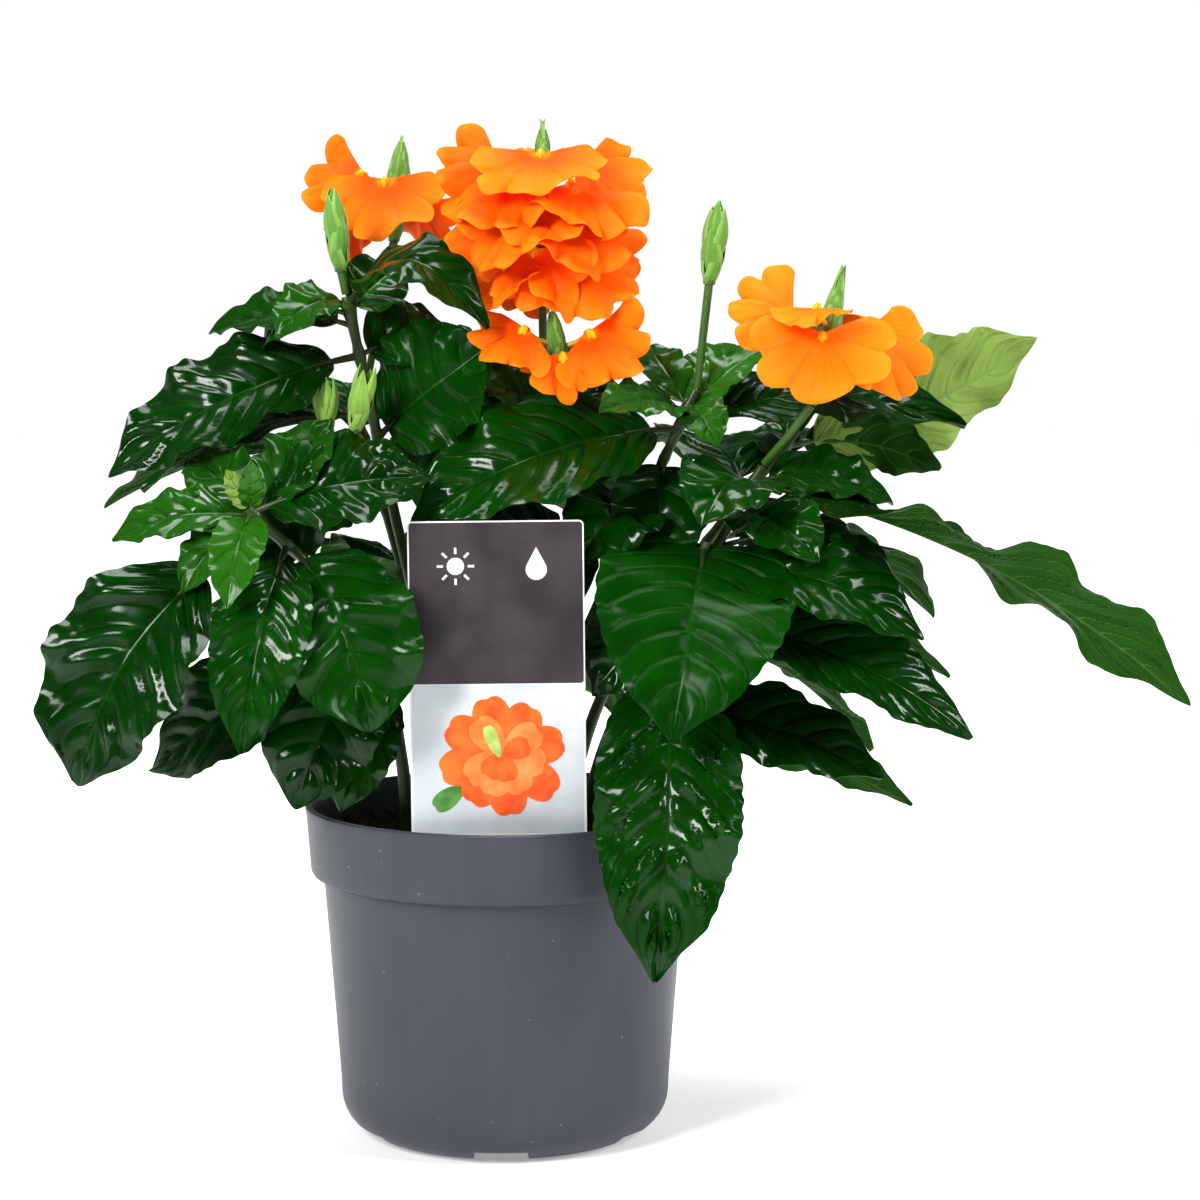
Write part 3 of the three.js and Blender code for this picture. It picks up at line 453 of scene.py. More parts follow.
def turned(vectors, axis, angle):
    """Vectors turned about a unit axis, each by its own angle in radians."""
    cosine = np.cos(angle)[..., None]
    sine = np.sin(angle)[..., None]
    along = np.sum(vectors * axis, -1, keepdims=True)
    return vectors * cosine + np.cross(axis, vectors) * sine + axis * along * (1 - cosine)


def smooth(low, high, value):
    share = np.clip((value - low) / (high - low), 0, 1)
    return share * share * (3 - 2 * share)


def spline(points, steps=200):
    """Points along a centripetal Catmull-Rom curve, evenly spaced along its length."""
    knots = [np.array(point, float) for point in points]
    knots = [2 * knots[0] - knots[1], *knots, 2 * knots[-1] - knots[-2]]
    path = []
    for before, start, end, after in zip(knots, knots[1:], knots[2:], knots[3:]):
        gaps = (start - before, end - start, after - end)
        first, middle, last = (np.linalg.norm(gap) ** 0.5 for gap in gaps)
        leave = (start - before) / first - (end - before) / (first + middle) + (end - start) / middle
        arrive = (end - start) / middle - (after - start) / (middle + last) + (after - end) / last
        leave, arrive = leave * middle, arrive * middle
        for t in np.linspace(0, 1, CURVE_STEPS, endpoint=False):
            cubic = 2 * start - 2 * end + leave + arrive
            square = 3 * end - 3 * start - 2 * leave - arrive
            path.append(start + leave * t + square * t**2 + cubic * t**3)
    path.append(knots[-2])
    return evenly(np.array(path), steps)


def evenly(path, steps):
    lengths = np.concatenate([[0], np.cumsum(np.linalg.norm(np.diff(path, axis=0), axis=1))])
    wanted = np.linspace(0, lengths[-1], steps + 1)
    return np.stack([np.interp(wanted, lengths, path[:, axis]) for axis in range(3)], 1)


def point_at(path, share):
    place = share * (len(path) - 1)
    low = min(int(place), len(path) - 2)
    return path[low] + (path[low + 1] - path[low]) * (place - low)


def tube(skin, path, radii, sides, mark=(0, 0, 0, 0), finish=0):
    """A closed round bar along a path, its frame carried along so that it doesn't twist."""
    path = np.asarray(path, float)
    along = unit(np.gradient(path, axis=0))
    across = np.array([0.0, 1.0, 0.0])
    angles = np.linspace(0, FULL_TURN, sides, endpoint=False)
    rings = []
    for centre, forward, radius in zip(path, along, radii):
        across = unit(across - forward * np.dot(across, forward))
        side = np.cross(forward, across)
        rings.append(centre + radius * (np.outer(np.cos(angles), across) + np.outer(np.sin(angles), side)))
    points = np.concatenate(rings + [path[:1], path[-1:]])
    last = (len(path) - 1) * sides
    faces = []
    for ring in range(len(path) - 1):
        for corner in range(sides):
            beside = (corner + 1) % sides
            a, b = ring * sides + corner, ring * sides + beside
            faces.append((a, b, b + sides, a + sides))
    for corner in range(sides):
        beside = (corner + 1) % sides
        faces.append((beside, corner, len(path) * sides))
        faces.append((last + corner, last + beside, len(path) * sides + 1))
    shares = np.repeat(np.linspace(0, 1, len(path)), sides)
    maps = np.stack([np.tile(angles / FULL_TURN, len(path)), shares], 1)
    skin.add(points, faces, np.concatenate([maps, [[0.5, 0], [0.5, 1]]]), mark, finish)


# ---------------------------------------------------------------------------
# Leaves. A blade follows a midrib that bends once. Its edges wave, and its
# skin puckers between the side veins.
# ---------------------------------------------------------------------------


def outline(share, shape):
    """A half width between 0 and 1 along a blade, from how it widens and how it narrows."""
    rise, fall = shape
    peak = rise / (rise + fall)
    most = peak**rise * (1 - peak) ** fall
    return share**rise * (1 - share) ** fall / most


def midrib(root, leaf):
    """The tip, the point that bends the midrib, and the way that the leaf faces."""
    tip = np.array(leaf["tip"], float)
    chord = unit(tip - root)
    face = np.array(leaf.get("face", (0, 0, 1)), float)
    upward = unit(face - chord * np.dot(face, chord))
    aside = np.cross(chord, upward)
    knee = (root + tip) / 2 + upward * 2 * leaf.get("bow", 0) + aside * 2 * leaf.get("sway", 0)
    return tip, knee, upward


def bezier(root, knee, tip, share):
    share = share[:, None]
    place = root * (1 - share) ** 2 + 2 * knee * share * (1 - share) + tip * share**2
    along = unit((knee - root) * (1 - share) + (tip - knee) * share)
    return place, along


def vein_count(length):
    return max(3, round(length / VEIN_GAP))


def vein_place(across, blade, count):
    """A whole number at a side vein, for a place on the blade."""
    return count * (blade * (1 + VEIN_LEAN) - VEIN_LEAN * np.abs(across) ** VEIN_CURVE)


def waving_edge(across, blade, half, leaf, phase):
    """Waves that grow towards the edge, with a shorter frill at the edge itself."""
    width = leaf["width"]
    side = np.where(across > 0, 2, 0)
    turn = FULL_TURN * BLADE_WAVES * blade + phase + side + 0.5 * np.sin(7 * blade + 3 * phase + side)
    reach = width * leaf.get("wave", BLADE_WAVE) * np.minimum(1, 2 * half / width)
    wave = reach * across**2 * np.sin(turn)
    frill = BLADE_FRILL * reach * across**4 * np.sin(2.6 * turn + 1.3 * phase)
    return wave + frill


def puckers(across, blade, half, leaf, phase, count):
    """Swellings between the side veins, uneven from vein to vein. A blistered leaf has them in pads."""
    side = np.where(across > 0, 6, 0)
    place = vein_place(across, blade, count)
    number = np.floor(place)
    uneven = 0.6 + 0.4 * np.sin(2.4 * number + 1.7 * phase + side)
    gather = float(np.clip(0.45 * leaf.get("pucker", 1) - 0.4, 0.06, 0.35))
    pads = 1 - gather + gather * np.cos(FULL_TURN * (2.2 * np.abs(across) + 0.37 * number))
    swell = np.abs(np.sin(math.pi * place)) ** 1.3
    fade = smooth(0, 0.2, np.abs(across)) * (1 - np.abs(across) ** 5) * smooth(2, 11, half)
    height = leaf.get("pucker", 1) * PUCKER * min(leaf["width"], 40)
    return height * swell * uneven * pads * fade


def blade_rise(across, blade, half, leaf, phase, count):
    """How far a point stands above the flat: the fold, the waving edge, the puckers and the sags."""
    fold = BLADE_FOLD * half * np.abs(across) ** 1.3
    edge = waving_edge(across, blade, half, leaf, phase)
    pucker = puckers(across, blade, half, leaf, phase, count)
    uneven = np.sin(6.1 * blade + 2 * phase) * np.sin(2.6 * across + phase)
    sag = BLADE_SAG * leaf["width"] * uneven * smooth(0, 0.15, blade)
    return fold + edge + pucker + sag


def blade_half(blade, share, leaf, phase, count):
    """The half width of a blade along its length, with its fine teeth and its drip tip."""
    drip_tip = 1 - DRIP_TIP * smooth(0.82, 1, blade)
    shape = OUTLINES[leaf.get("shape", "ovate")]
    half = 1 - 0.7 * share + leaf["width"] / 2 * outline(blade, shape) * drip_tip
    teeth = TEETH * np.sin(4 * math.pi * count * blade + phase) * np.sin(math.pi * blade)
    return (half + teeth)[:, None]


def blade_flat(root, leaf, share, across, half, length):
    """The middle plane of a blade as a grid of points, and the way that each row faces."""
    tip, knee, upward = midrib(root, leaf)
    centre, along = bezier(root, knee, tip, share)
    normal = unit(upward - along * np.sum(upward * along, -1, keepdims=True))
    normal = turned(normal, along, np.radians(leaf.get("twist", 0)) * share)
    side = np.cross(along, normal)
    blade = np.linspace(0, 1, len(share))[:, None]
    shoulder = HEART_SHOULDER if leaf.get("shape") == "heart" else 0
    back = shoulder * length * np.abs(across) ** 1.2 * (1 - blade) ** 6
    spread = side[:, None, :] * (half * across)[:, :, None]
    return centre[:, None, :] + spread - along[:, None, :] * back[:, :, None], normal[:, None, :]


def leaf_marks(root, leaf, phase, count, points):
    """Marks for each point: upper side, how young, how matt or light, and the number of side veins."""
    young = float(np.clip((26 - leaf["width"]) / 16, 0, 1)) + leaf.get("young", 0)
    tint = leaf.get("matt", 0) + (math.sin(7.3 * phase + root[0]) + 1) / 2
    marks = np.zeros((2 * points, 4))
    marks[:points, 0] = 1
    marks[:, 1:] = (young, tint, count / VEIN_MARK)
    return marks, young


def add_leaf(skin, root, leaf, phase):
    petiole = leaf.get("petiole", 0.1)
    length = np.linalg.norm(np.array(leaf["tip"]) - root) * (1 - petiole)
    fineness = 2 if leaf["width"] < SMALL_LEAF else 1
    rows, columns = BLADE_ROWS // fineness, BLADE_COLUMNS // fineness
    blade = np.linspace(0, 1, rows + 1)
    spread = np.linspace(-1, 1, columns + 1)
    across = (np.sign(spread) * np.abs(spread) ** 1.25)[None, :]
    share = petiole + (1 - petiole) * blade
    count = vein_count(length)
    half = blade_half(blade, share, leaf, phase, count)
    flat, up = blade_flat(root, leaf, share, across, half, length)
    blade = blade[:, None]
    rise = blade_rise(across, blade, half, leaf, phase, count)
    inward = np.exp(-((across * half / RIB_REACH) ** 2))
    groove = GROOVE_DEPTH * inward * (1 - 0.6 * blade)
    rib = RIB_HEIGHT * inward * (1 - 0.75 * blade)
    upper = flat + up * (rise + BLADE_HALF - groove)[:, :, None]
    lower = flat + up * (rise - BLADE_HALF - rib)[:, :, None]
    maps = np.stack(np.broadcast_arrays((across + 1) / 2, blade), -1).reshape(-1, 2)
    marks, young = leaf_marks(root, leaf, phase, count, len(maps))
    points = np.concatenate([upper.reshape(-1, 3), lower.reshape(-1, 3)])
    skin.add(points, sheet_faces(rows + 1, columns + 1), np.concatenate([maps, maps]), marks, 0)
    add_petiole(skin, root, leaf, petiole, young)


def add_petiole(skin, root, leaf, petiole, young):
    tip, knee, _ = midrib(root, leaf)
    reach = petiole + 0.1
    path, _ = bezier(root, knee, tip, np.linspace(0, reach, 9))
    thick = min(1.35, 0.45 + 0.025 * leaf["width"])
    radii = np.linspace(thick, 0.45 * thick, 9)
    tube(skin, path, radii, 8, (1, young, 0.5, 0), 1)


def leafy_stem(shoot, finishes):
    skin = Skin()
    path = spline(shoot["stem"])
    shares = np.linspace(0, 1, len(path))
    radii = STEM_BASE + (STEM_TIP - STEM_BASE) * shares
    for leaf in shoot["leaves"]:
        radii = radii + NODE_SWELL * np.exp(-(((shares - leaf["at"]) / NODE_REACH) ** 2))
    radii = np.minimum(radii, STEM_BASE + NODE_SWELL)
    tube(skin, path[::4], radii[::4], STEM_SIDES, (0, 0.2, 0.5, 0), 1)
    for index, leaf in enumerate(shoot["leaves"]):
        add_leaf(skin, point_at(path, leaf["at"]), leaf, 2.4 * index)
    return skin.piece(shoot["name"].replace("leafy_stem", "leaves"), finishes, 62)


# ---------------------------------------------------------------------------
# Florets: each has a slender tube and a one-sided fan of five rounded lobes.
# ---------------------------------------------------------------------------


def floret_axes(floret):
    """Where a floret's stalk heads, and the fan's own middle, side and face directions."""
    turn, down = math.radians(floret["turn"]), math.radians(floret["dip"])
    out = np.array([math.cos(turn), math.sin(turn), 0])
    up = np.array([0.0, 0.0, 1.0])
    middle = out * math.cos(down) - up * math.sin(down)
    face = out * math.sin(down) + up * math.cos(down)
    face = turned(face, middle, np.array(math.radians(floret.get("bank", 0))))
    return out, (middle, np.cross(middle, face), face)


def add_floret(skin, root, floret, fresh, chance):
    out, axes = floret_axes(floret)
    throat = root + out * floret.get("reach", THROAT_REACH) + np.array([0, 0, THROAT_LIFT])
    add_fan(skin, throat, axes, floret, fresh, chance)
    add_corolla_tube(skin, root, throat, axes[2])
    add_eye(skin, throat, axes[0], axes[2])


def any_turn(chance):
    return chance.uniform(0, 6.28)


def fan_rise(share, sweep, place, local, lifts, fresh, chance):
    """How far a point of a fan stands above the flat, as a share of the fan's size."""
    first, second = any_turn(chance), any_turn(chance)
    ruffle = FAN_RUFFLE * np.sin(5.5 * sweep + first + 2.6 * share)
    frill = FAN_FRILL * np.sin(14 * sweep + second + 5 * share)
    flutter = FAN_FLUTTER * np.sin(29 * sweep + first - 7 * share)
    lobe_lift = LOBE_LIFT * np.interp(place, np.arange(LOBES) + 0.5, lifts)
    cup = LOBE_CUP * (1 - local**2)
    crease = -LOBE_CREASE * np.exp(-(((np.abs(local) - 1) / 0.2) ** 2))
    droop = (0.16 * sweep**2 - 0.15) * share**2 + 0.05 * share * (1 - share)
    soft = share**2 * (ruffle + lobe_lift + cup) + share**4 * (frill + flutter)
    return (1 - FRESH_CALM * fresh) * soft + share**2 * crease + droop


def add_fan(skin, throat, axes, floret, fresh, chance):
    """One sheet with five rounded lobes: it droops, ruffles towards its rim and folds between lobes."""
    middle, side, face = axes
    size = floret["size"]
    spread = math.radians(floret.get("spread", FAN_SPREAD))
    share = np.linspace(0.03, 1, FAN_RINGS + 1)[:, None]
    sweep = np.linspace(-1, 1, FAN_STEPS + 1)[None, :]
    uneven = sweep + 0.09 * (1 - sweep**2) * np.sin(4 * sweep + any_turn(chance))
    place = (uneven + 1) / 2 * LOBES
    lobe = np.minimum(np.floor(place), LOBES - 1)
    local = 2 * (place - lobe) - 1
    reaches = [chance.uniform(0.92, 1.04) for _ in range(LOBES)]
    lifts = [chance.uniform(-1, 1) * (-1) ** number for number in range(LOBES)]
    scallop = 1 - LOBE_NOTCH * np.abs(local) ** 2.5
    rim = np.interp(place, np.arange(LOBES) + 0.5, reaches) * scallop * (1 - 0.12 * sweep**2)
    radius = size * share * (1 - (1 - rim) * share**2)
    angle = sweep * spread / 2 + 0.05 * share**2 * np.sin(5 * sweep + any_turn(chance))
    rise = size * fan_rise(share, sweep, place, local, lifts, fresh, chance)
    flat = throat + (radius * np.cos(angle))[..., None] * middle + (radius * np.sin(angle))[..., None] * side
    thin = (FAN_HALF * (1 - 0.4 * share) + 0 * sweep)[..., None]
    upper = flat + (rise[..., None] + thin) * face
    lower = flat + (rise[..., None] - thin) * face
    maps = np.stack(np.broadcast_arrays(place, share), -1).reshape(-1, 2)
    marks = np.zeros((2 * len(maps), 4))
    marks[: len(maps), 0] = 1
    marks[:, 1:3] = (chance.uniform(0, 1), fresh)
    points = np.concatenate([upper.reshape(-1, 3), lower.reshape(-1, 3)])
    skin.add(points, sheet_faces(FAN_RINGS + 1, FAN_STEPS + 1), np.concatenate([maps, maps]), marks, 0)


def add_corolla_tube(skin, root, throat, face):
    path, _ = bezier(root, throat - TUBE_BEND * face, throat - 0.2 * face, np.linspace(0, 1, 9))
    tube(skin, path, np.linspace(0.8, 1.25, 9), 8, (1, 0.5, 0, 0), 1)


def add_eye(skin, throat, middle, face):
    """The yellow lip of the throat: three soft ridges that run out on the middle lobe."""
    for lean, size in ((-0.5, 0.75), (0, 1), (0.5, 0.75)):
        out = turned(middle, face, np.array(lean))
        steps = ((-0.4, 0.3), (0.5, 1.1), (1.8, 0.9), (3.4, -0.2))
        path = [throat + out * size * far + face * size * lift for far, lift in steps]
        radii = size * np.array((0.4, 0.75, 0.95, 1.05, 1.05, 1.0, 0.85, 0.65, 0.3))
        tube(skin, spline(path, 8), radii, 10, (1, 0.5, 0, 0), 2)


def bloom_piece(name, bloom, spike, finishes):
    skin = Skin()
    foot = np.array(spike["base"], float)
    along = unit(np.array(spike["tip"], float) - foot)
    for index, floret in enumerate(bloom["florets"]):
        chance = random.Random(31 * index + len(name))
        add_floret(skin, foot + along * floret["rise"], floret, bloom.get("fresh", 0), chance)
    return skin.piece(name.replace("bloom", "florets"), finishes, 70)


# ---------------------------------------------------------------------------
# Node helpers.
# ---------------------------------------------------------------------------


def add_node(tree, kind, inputs=(), **settings):
    made = tree.nodes.new(kind)
    for name, value in settings.items():
        setattr(made, name, value)
    for socket, value in dict(inputs).items():
        if isinstance(value, bpy.types.NodeSocket):
            tree.links.new(value, made.inputs[socket])
        else:
            made.inputs[socket].default_value = value
    return made


def maths(tree, operation, *values, clamp=False):
    made = add_node(tree, "ShaderNodeMath", dict(enumerate(values)), operation=operation, use_clamp=clamp)
    return made.outputs[0]


def ramped(tree, value, low, high, first=0.0, last=1.0):
    """A soft step: first below low, last above high."""
    steps = {0: value, 1: low, 2: high, 3: first, 4: last}
    return add_node(tree, "ShaderNodeMapRange", steps, interpolation_type="SMOOTHSTEP").outputs[0]


def mixed(tree, factor, first, second):
    made = add_node(tree, "ShaderNodeMix", {0: factor, 6: first, 7: second}, data_type="RGBA")
    return made.outputs[2]


def rgb(*colour):
    return (*colour, 1.0)


def place_on(tree):
    return add_node(tree, "ShaderNodeTexCoord").outputs["Object"]


def object_noise(tree, scale, detail=3, roughness=0.5):
    inputs = {"Vector": place_on(tree), "Scale": scale, "Detail": detail, "Roughness": roughness}
    return add_node(tree, "ShaderNodeTexNoise", inputs).outputs["Fac"]


def new_finish(name, roughness=0.5, specular=0.5, coat=0.0, coat_roughness=0.1, sheen=0.0, subsurface=0.0):
    material = bpy.data.materials.new(name)
    material.use_nodes = True
    shader = material.node_tree.nodes["Principled BSDF"]
    shader.inputs["Roughness"].default_value = roughness
    shader.inputs["Specular IOR Level"].default_value = specular
    shader.inputs["Coat Weight"].default_value = coat
    shader.inputs["Coat Roughness"].default_value = coat_roughness
    shader.inputs["Sheen Weight"].default_value = sheen
    shader.inputs["Subsurface Weight"].default_value = subsurface
    shader.inputs["Subsurface Scale"].default_value = 0.002
    return material, material.node_tree, shader


def dress(tree, shader, socket, value):
    tree.links.new(value, shader.inputs[socket])


def bumped(tree, shader, height, strength, distance, below=None):
    """Relief on a finish, on top of the relief `below` where there is one."""
    inputs = {"Height": height, "Strength": strength, "Distance": distance}
    if below is not None:
        inputs["Normal"] = below
    made = add_node(tree, "ShaderNodeBump", inputs)
    dress(tree, shader, "Normal", made.outputs[0])
    return made.outputs[0]


def marks_of(tree):
    """The four marks that a skin carries: red, green, blue and alpha."""
    source = add_node(tree, "ShaderNodeAttribute", attribute_name="marks")
    split = add_node(tree, "ShaderNodeSeparateColor", {0: source.outputs["Color"]})
    return split.outputs[0], split.outputs[1], split.outputs[2], source.outputs["Alpha"]


def chart_of(tree):
    chart = add_node(tree, "ShaderNodeUVMap", uv_map="chart")
    split = add_node(tree, "ShaderNodeSeparateXYZ", {0: chart.outputs[0]})
    return split.outputs[0], split.outputs[1]


def off_middle(tree, u):
    """0 on the middle line of a chart, 1 at its edges."""
    return maths(tree, "ABSOLUTE", maths(tree, "MULTIPLY_ADD", u, 2.0, -1.0))


# ---------------------------------------------------------------------------
# Finishes of the plant.
# ---------------------------------------------------------------------------

LEAF_SHADE = rgb(0.0006, 0.026, 0.0002)
LEAF_LIGHT = rgb(0.003, 0.056, 0.0006)
LEAF_PATCH = rgb(0.001, 0.04, 0.0004)
LEAF_YOUNG = rgb(0.04, 0.19, 0.01)
LEAF_UNDER = rgb(0.02, 0.09, 0.007)
# Pale underside of young leaves; on the back right leaf it is also painted light shining through the blade.
LEAF_UNDER_YOUNG_AND_LIT_THROUGH = rgb(0.25, 0.37, 0.085)
VEIN_OLD = rgb(0.022, 0.085, 0.009)
VEIN_YOUNG = rgb(0.1, 0.3, 0.04)
VEIN_UNDER = rgb(0.15, 0.3, 0.06)
LEAF_COAT = 0.46
MATT_LOSS = 0.36

BARK_DARK, BARK_LIGHT = rgb(0.014, 0.026, 0.006), rgb(0.035, 0.045, 0.01)
SHOOT_DARK, SHOOT_LIGHT = rgb(0.05, 0.15, 0.015), rgb(0.085, 0.21, 0.028)
BRACT_DARK, BRACT_LIGHT = rgb(0.085, 0.24, 0.02), rgb(0.16, 0.35, 0.045)
YOUNG_BRACT_DARK, YOUNG_BRACT_LIGHT = rgb(0.17, 0.36, 0.03), rgb(0.32, 0.52, 0.09)
BRACT_RIM, BRACT_KEEL = rgb(0.36, 0.55, 0.15), rgb(0.28, 0.48, 0.1)

PETAL_DEEP, PETAL_WARM = rgb(1.0, 0.115, 0.0005), rgb(1.0, 0.185, 0.001)
PETAL_FRESH = rgb(1.0, 0.22, 0.004)
PETAL_UNDER = rgb(1.0, 0.07, 0.0005)
# Painted shade: the redder orange laid deep in each fan and in the folds between its lobes.
PETAL_PAINTED_SHADE = rgb(1.0, 0.06, 0.0005)
PETAL_VEIN = rgb(1.0, 0.08, 0.0005)
PETAL_GRAIN = rgb(1.0, 0.29, 0.01)
PETAL_GLOW = rgb(1.0, 0.28, 0.002)
PETAL_RIM = rgb(1.0, 0.3, 0.015)
PETAL_VEINS = 37.7


def leaf_veins(tree, u, v, count):
    """Where the veins are, and how far a place is from its side vein."""
    across = off_middle(tree, u)
    lean = maths(tree, "MULTIPLY", maths(tree, "POWER", across, VEIN_CURVE), VEIN_LEAN)
    along = maths(tree, "SUBTRACT", maths(tree, "MULTIPLY", v, 1 + VEIN_LEAN), lean)
    off_vein = maths(tree, "PINGPONG", maths(tree, "MULTIPLY", count, along), 0.5)
    near_edge = ramped(tree, across, 0.7, 1, 1, 0.1)
    side_vein = maths(tree, "MULTIPLY", ramped(tree, off_vein, 0.012, 0.06, 1, 0), near_edge)
    middle_vein = ramped(tree, across, 0.012, 0.04, 1, 0)
    return across, off_vein, maths(tree, "MAXIMUM", side_vein, middle_vein)


def leaf_colour(tree, marks, vein, matt, patches):
    upper, young, tint, _ = marks
    deep = mixed(tree, tint, LEAF_SHADE, LEAF_LIGHT)
    deep = mixed(tree, ramped(tree, patches, 0.35, 0.7), deep, LEAF_PATCH)
    fresh = mixed(tree, maths(tree, "MULTIPLY", young, 0.75, clamp=True), deep, LEAF_YOUNG)
    pale = mixed(tree, young, VEIN_OLD, VEIN_YOUNG)
    show = maths(tree, "MULTIPLY", vein, maths(tree, "MULTIPLY_ADD", matt, 0.12, 0.22))
    top = mixed(tree, show, fresh, pale)
    # A pale young underside, which on the back right leaf is also painted light shining through it.
    under = mixed(tree, ramped(tree, young, 0.7, 1.0), LEAF_UNDER, LEAF_UNDER_YOUNG_AND_LIT_THROUGH)
    below = mixed(tree, maths(tree, "MULTIPLY", vein, 0.35), under, VEIN_UNDER)
    return mixed(tree, upper, below, top)


def leaf_relief(tree, shader, across, off_vein, vein):
    """A fine net, low lumps, swellings between the side veins, and the sunken veins."""
    cells = add_node(tree, "ShaderNodeTexVoronoi", {"Vector": place_on(tree), "Scale": 300.0},
                     feature="DISTANCE_TO_EDGE")
    net = ramped(tree, cells.outputs["Distance"], 0, 0.3)
    fine = bumped(tree, shader, net, 0.08, 0.0004)
    uneven = bumped(tree, shader, object_noise(tree, 75, 2), 0.16, 0.0022, fine)
    quilt = maths(tree, "MULTIPLY", ramped(tree, off_vein, 0.0, 0.22), ramped(tree, across, 0.0, 0.12))
    quilted = bumped(tree, shader, quilt, 0.5, 0.0011, uneven)
    bumped(tree, shader, maths(tree, "SUBTRACT", 1.0, vein), 0.3, 0.0004, quilted)


def leaf_finish():
    """Dark glossy green above with pale sunken veins, lighter and duller below."""
    material, tree, shader = new_finish("glossy_leaf", 0.3, 0.06, coat=LEAF_COAT, coat_roughness=0.14)
    marks = marks_of(tree)
    upper, _, tint, count_mark = marks
    across, off_vein, vein = leaf_veins(tree, *chart_of(tree), maths(tree, "MULTIPLY", count_mark, VEIN_MARK))
    matt = ramped(tree, tint, 1.0, 1.5)
    patches = object_noise(tree, 90)
    dress(tree, shader, "Base Color", leaf_colour(tree, marks, vein, matt, patches))
    gloss = maths(tree, "MULTIPLY_ADD", patches, 0.2, 0.2)
    dull = maths(tree, "MULTIPLY_ADD", upper, -0.22, 0.22)
    dress(tree, shader, "Roughness", maths(tree, "ADD", gloss, dull))
    polish = ramped(tree, object_noise(tree, 42, 1), 0.38, 0.6, 0.3, 1.15)
    coat = maths(tree, "MULTIPLY", maths(tree, "MULTIPLY_ADD", matt, -MATT_LOSS, LEAF_COAT), polish)
    dress(tree, shader, "Coat Weight", maths(tree, "MULTIPLY", coat, upper))
    leaf_relief(tree, shader, across, off_vein, vein)
    return material


def stem_finish():
    """Nearly black old wood that turns green in young parts."""
    material, tree, shader = new_finish("green_stem", 0.4, 0.5)
    _, young, _, _ = marks_of(tree)
    grain = object_noise(tree, 300)
    old = mixed(tree, grain, BARK_DARK, BARK_LIGHT)
    green = mixed(tree, grain, SHOOT_DARK, SHOOT_LIGHT)
    dress(tree, shader, "Base Color", mixed(tree, maths(tree, "MULTIPLY_ADD", young, 0.7, 0.1), old, green))
    bumped(tree, shader, grain, 0.3, 0.0004)
    return material


def petal_veins(tree, u, v, grain):
    """Fine veins that fan out from the throat, wander a little and fade towards the rim."""
    wander = maths(tree, "MULTIPLY_ADD", grain, 5.0, maths(tree, "MULTIPLY", u, PETAL_VEINS))
    ribs = maths(tree, "POWER", maths(tree, "MULTIPLY_ADD", maths(tree, "SINE", wander), 0.5, 0.5), 3.0)
    return maths(tree, "MULTIPLY", ribs, ramped(tree, v, 0.35, 0.95, 0.3, 0.05))


def petal_finish():
    """Soft orange, redder on the underside, with painted shade deep in the fan and in the folds between
    lobes, paler at the rim, yellow at the throat.
    """
    material, tree, shader = new_finish("orange_petal", 0.55, 0.1, subsurface=0.12)
    upper, tint, newest, _ = marks_of(tree)
    u, v = chart_of(tree)
    grain = object_noise(tree, 160, 4)
    shade = mixed(tree, newest, mixed(tree, tint, PETAL_DEEP, PETAL_WARM), PETAL_FRESH)
    # Painted shade deep in the fan, strongest towards the throat and weaker on the fresh bloom.
    painted_shade_strength = ramped(tree, newest, 0, 1, 1, 0.35)
    painted_throat_shade = maths(tree, "MULTIPLY", ramped(tree, v, 0.15, 0.85, 0.8, 0), painted_shade_strength)
    layers = [
        (maths(tree, "MULTIPLY_ADD", upper, -0.4, 0.4), PETAL_UNDER),
        (maths(tree, "MULTIPLY", grain, 0.2), PETAL_GRAIN),
        (petal_veins(tree, u, v, grain), PETAL_VEIN),
        (ramped(tree, object_noise(tree, 70, 2), 0.35, 0.7, 0.0, 0.5), PETAL_FRESH),
        # Painted shade in the folds between lobes.
        (ramped(tree, maths(tree, "PINGPONG", u, 0.5), 0.0, 0.1, 0.2, 0), PETAL_PAINTED_SHADE),
        (painted_throat_shade, PETAL_PAINTED_SHADE),
        (ramped(tree, v, 0.06, 0.2, 0.8, 0), PETAL_GLOW),
        (ramped(tree, v, 0.8, 1.0, 0, 0.4), PETAL_RIM),
    ]
    for factor, colour in layers:
        shade = mixed(tree, factor, shade, colour)
    dress(tree, shader, "Base Color", shade)
    shader.inputs["Subsurface Radius"].default_value = (1.0, 0.25, 0.02)
    bumped(tree, shader, grain, 0.1, 0.0003)
    return material


def throat_finish():
    material, tree, shader = new_finish("throat_tube", 0.5, 0.35)
    _, v = chart_of(tree)
    shade = mixed(tree, ramped(tree, v, 0.2, 0.8), rgb(0.55, 0.42, 0.06), rgb(1.0, 0.2, 0.006))
    dress(tree, shader, "Base Color", shade)
    return material


def eye_finish():
    material, tree, shader = new_finish("yellow_eye", 0.55, 0.3)
    yellow = mixed(tree, object_noise(tree, 700), rgb(1.0, 0.36, 0.004), rgb(1.0, 0.5, 0.01))
    dress(tree, shader, "Base Color", yellow)
    return material


def bract_finish(name, dark, light):
    """Downy green with a paler keel and rim and a darker tip."""
    material, tree, shader = new_finish(name, 0.5, 0.4, sheen=0.25)
    u, v = chart_of(tree)
    across = off_middle(tree, u)
    body = mixed(tree, object_noise(tree, 400), dark, light)
    body = mixed(tree, ramped(tree, v, 0.5, 1.0, 0, 0.6), body, dark)
    body = mixed(tree, ramped(tree, across, 0.6, 1.0, 0, 0.5), body, BRACT_RIM)
    body = mixed(tree, ramped(tree, across, 0.03, 0.14, 0.4, 0), body, BRACT_KEEL)
    dress(tree, shader, "Base Color", body)
    ribs = maths(tree, "SINE", maths(tree, "MULTIPLY", u, 30.0))
    bumped(tree, shader, ribs, 0.25, 0.0003)
    return material


# ---------------------------------------------------------------------------
# Finishes of the pot, the soil, the label and the floor.
# ---------------------------------------------------------------------------

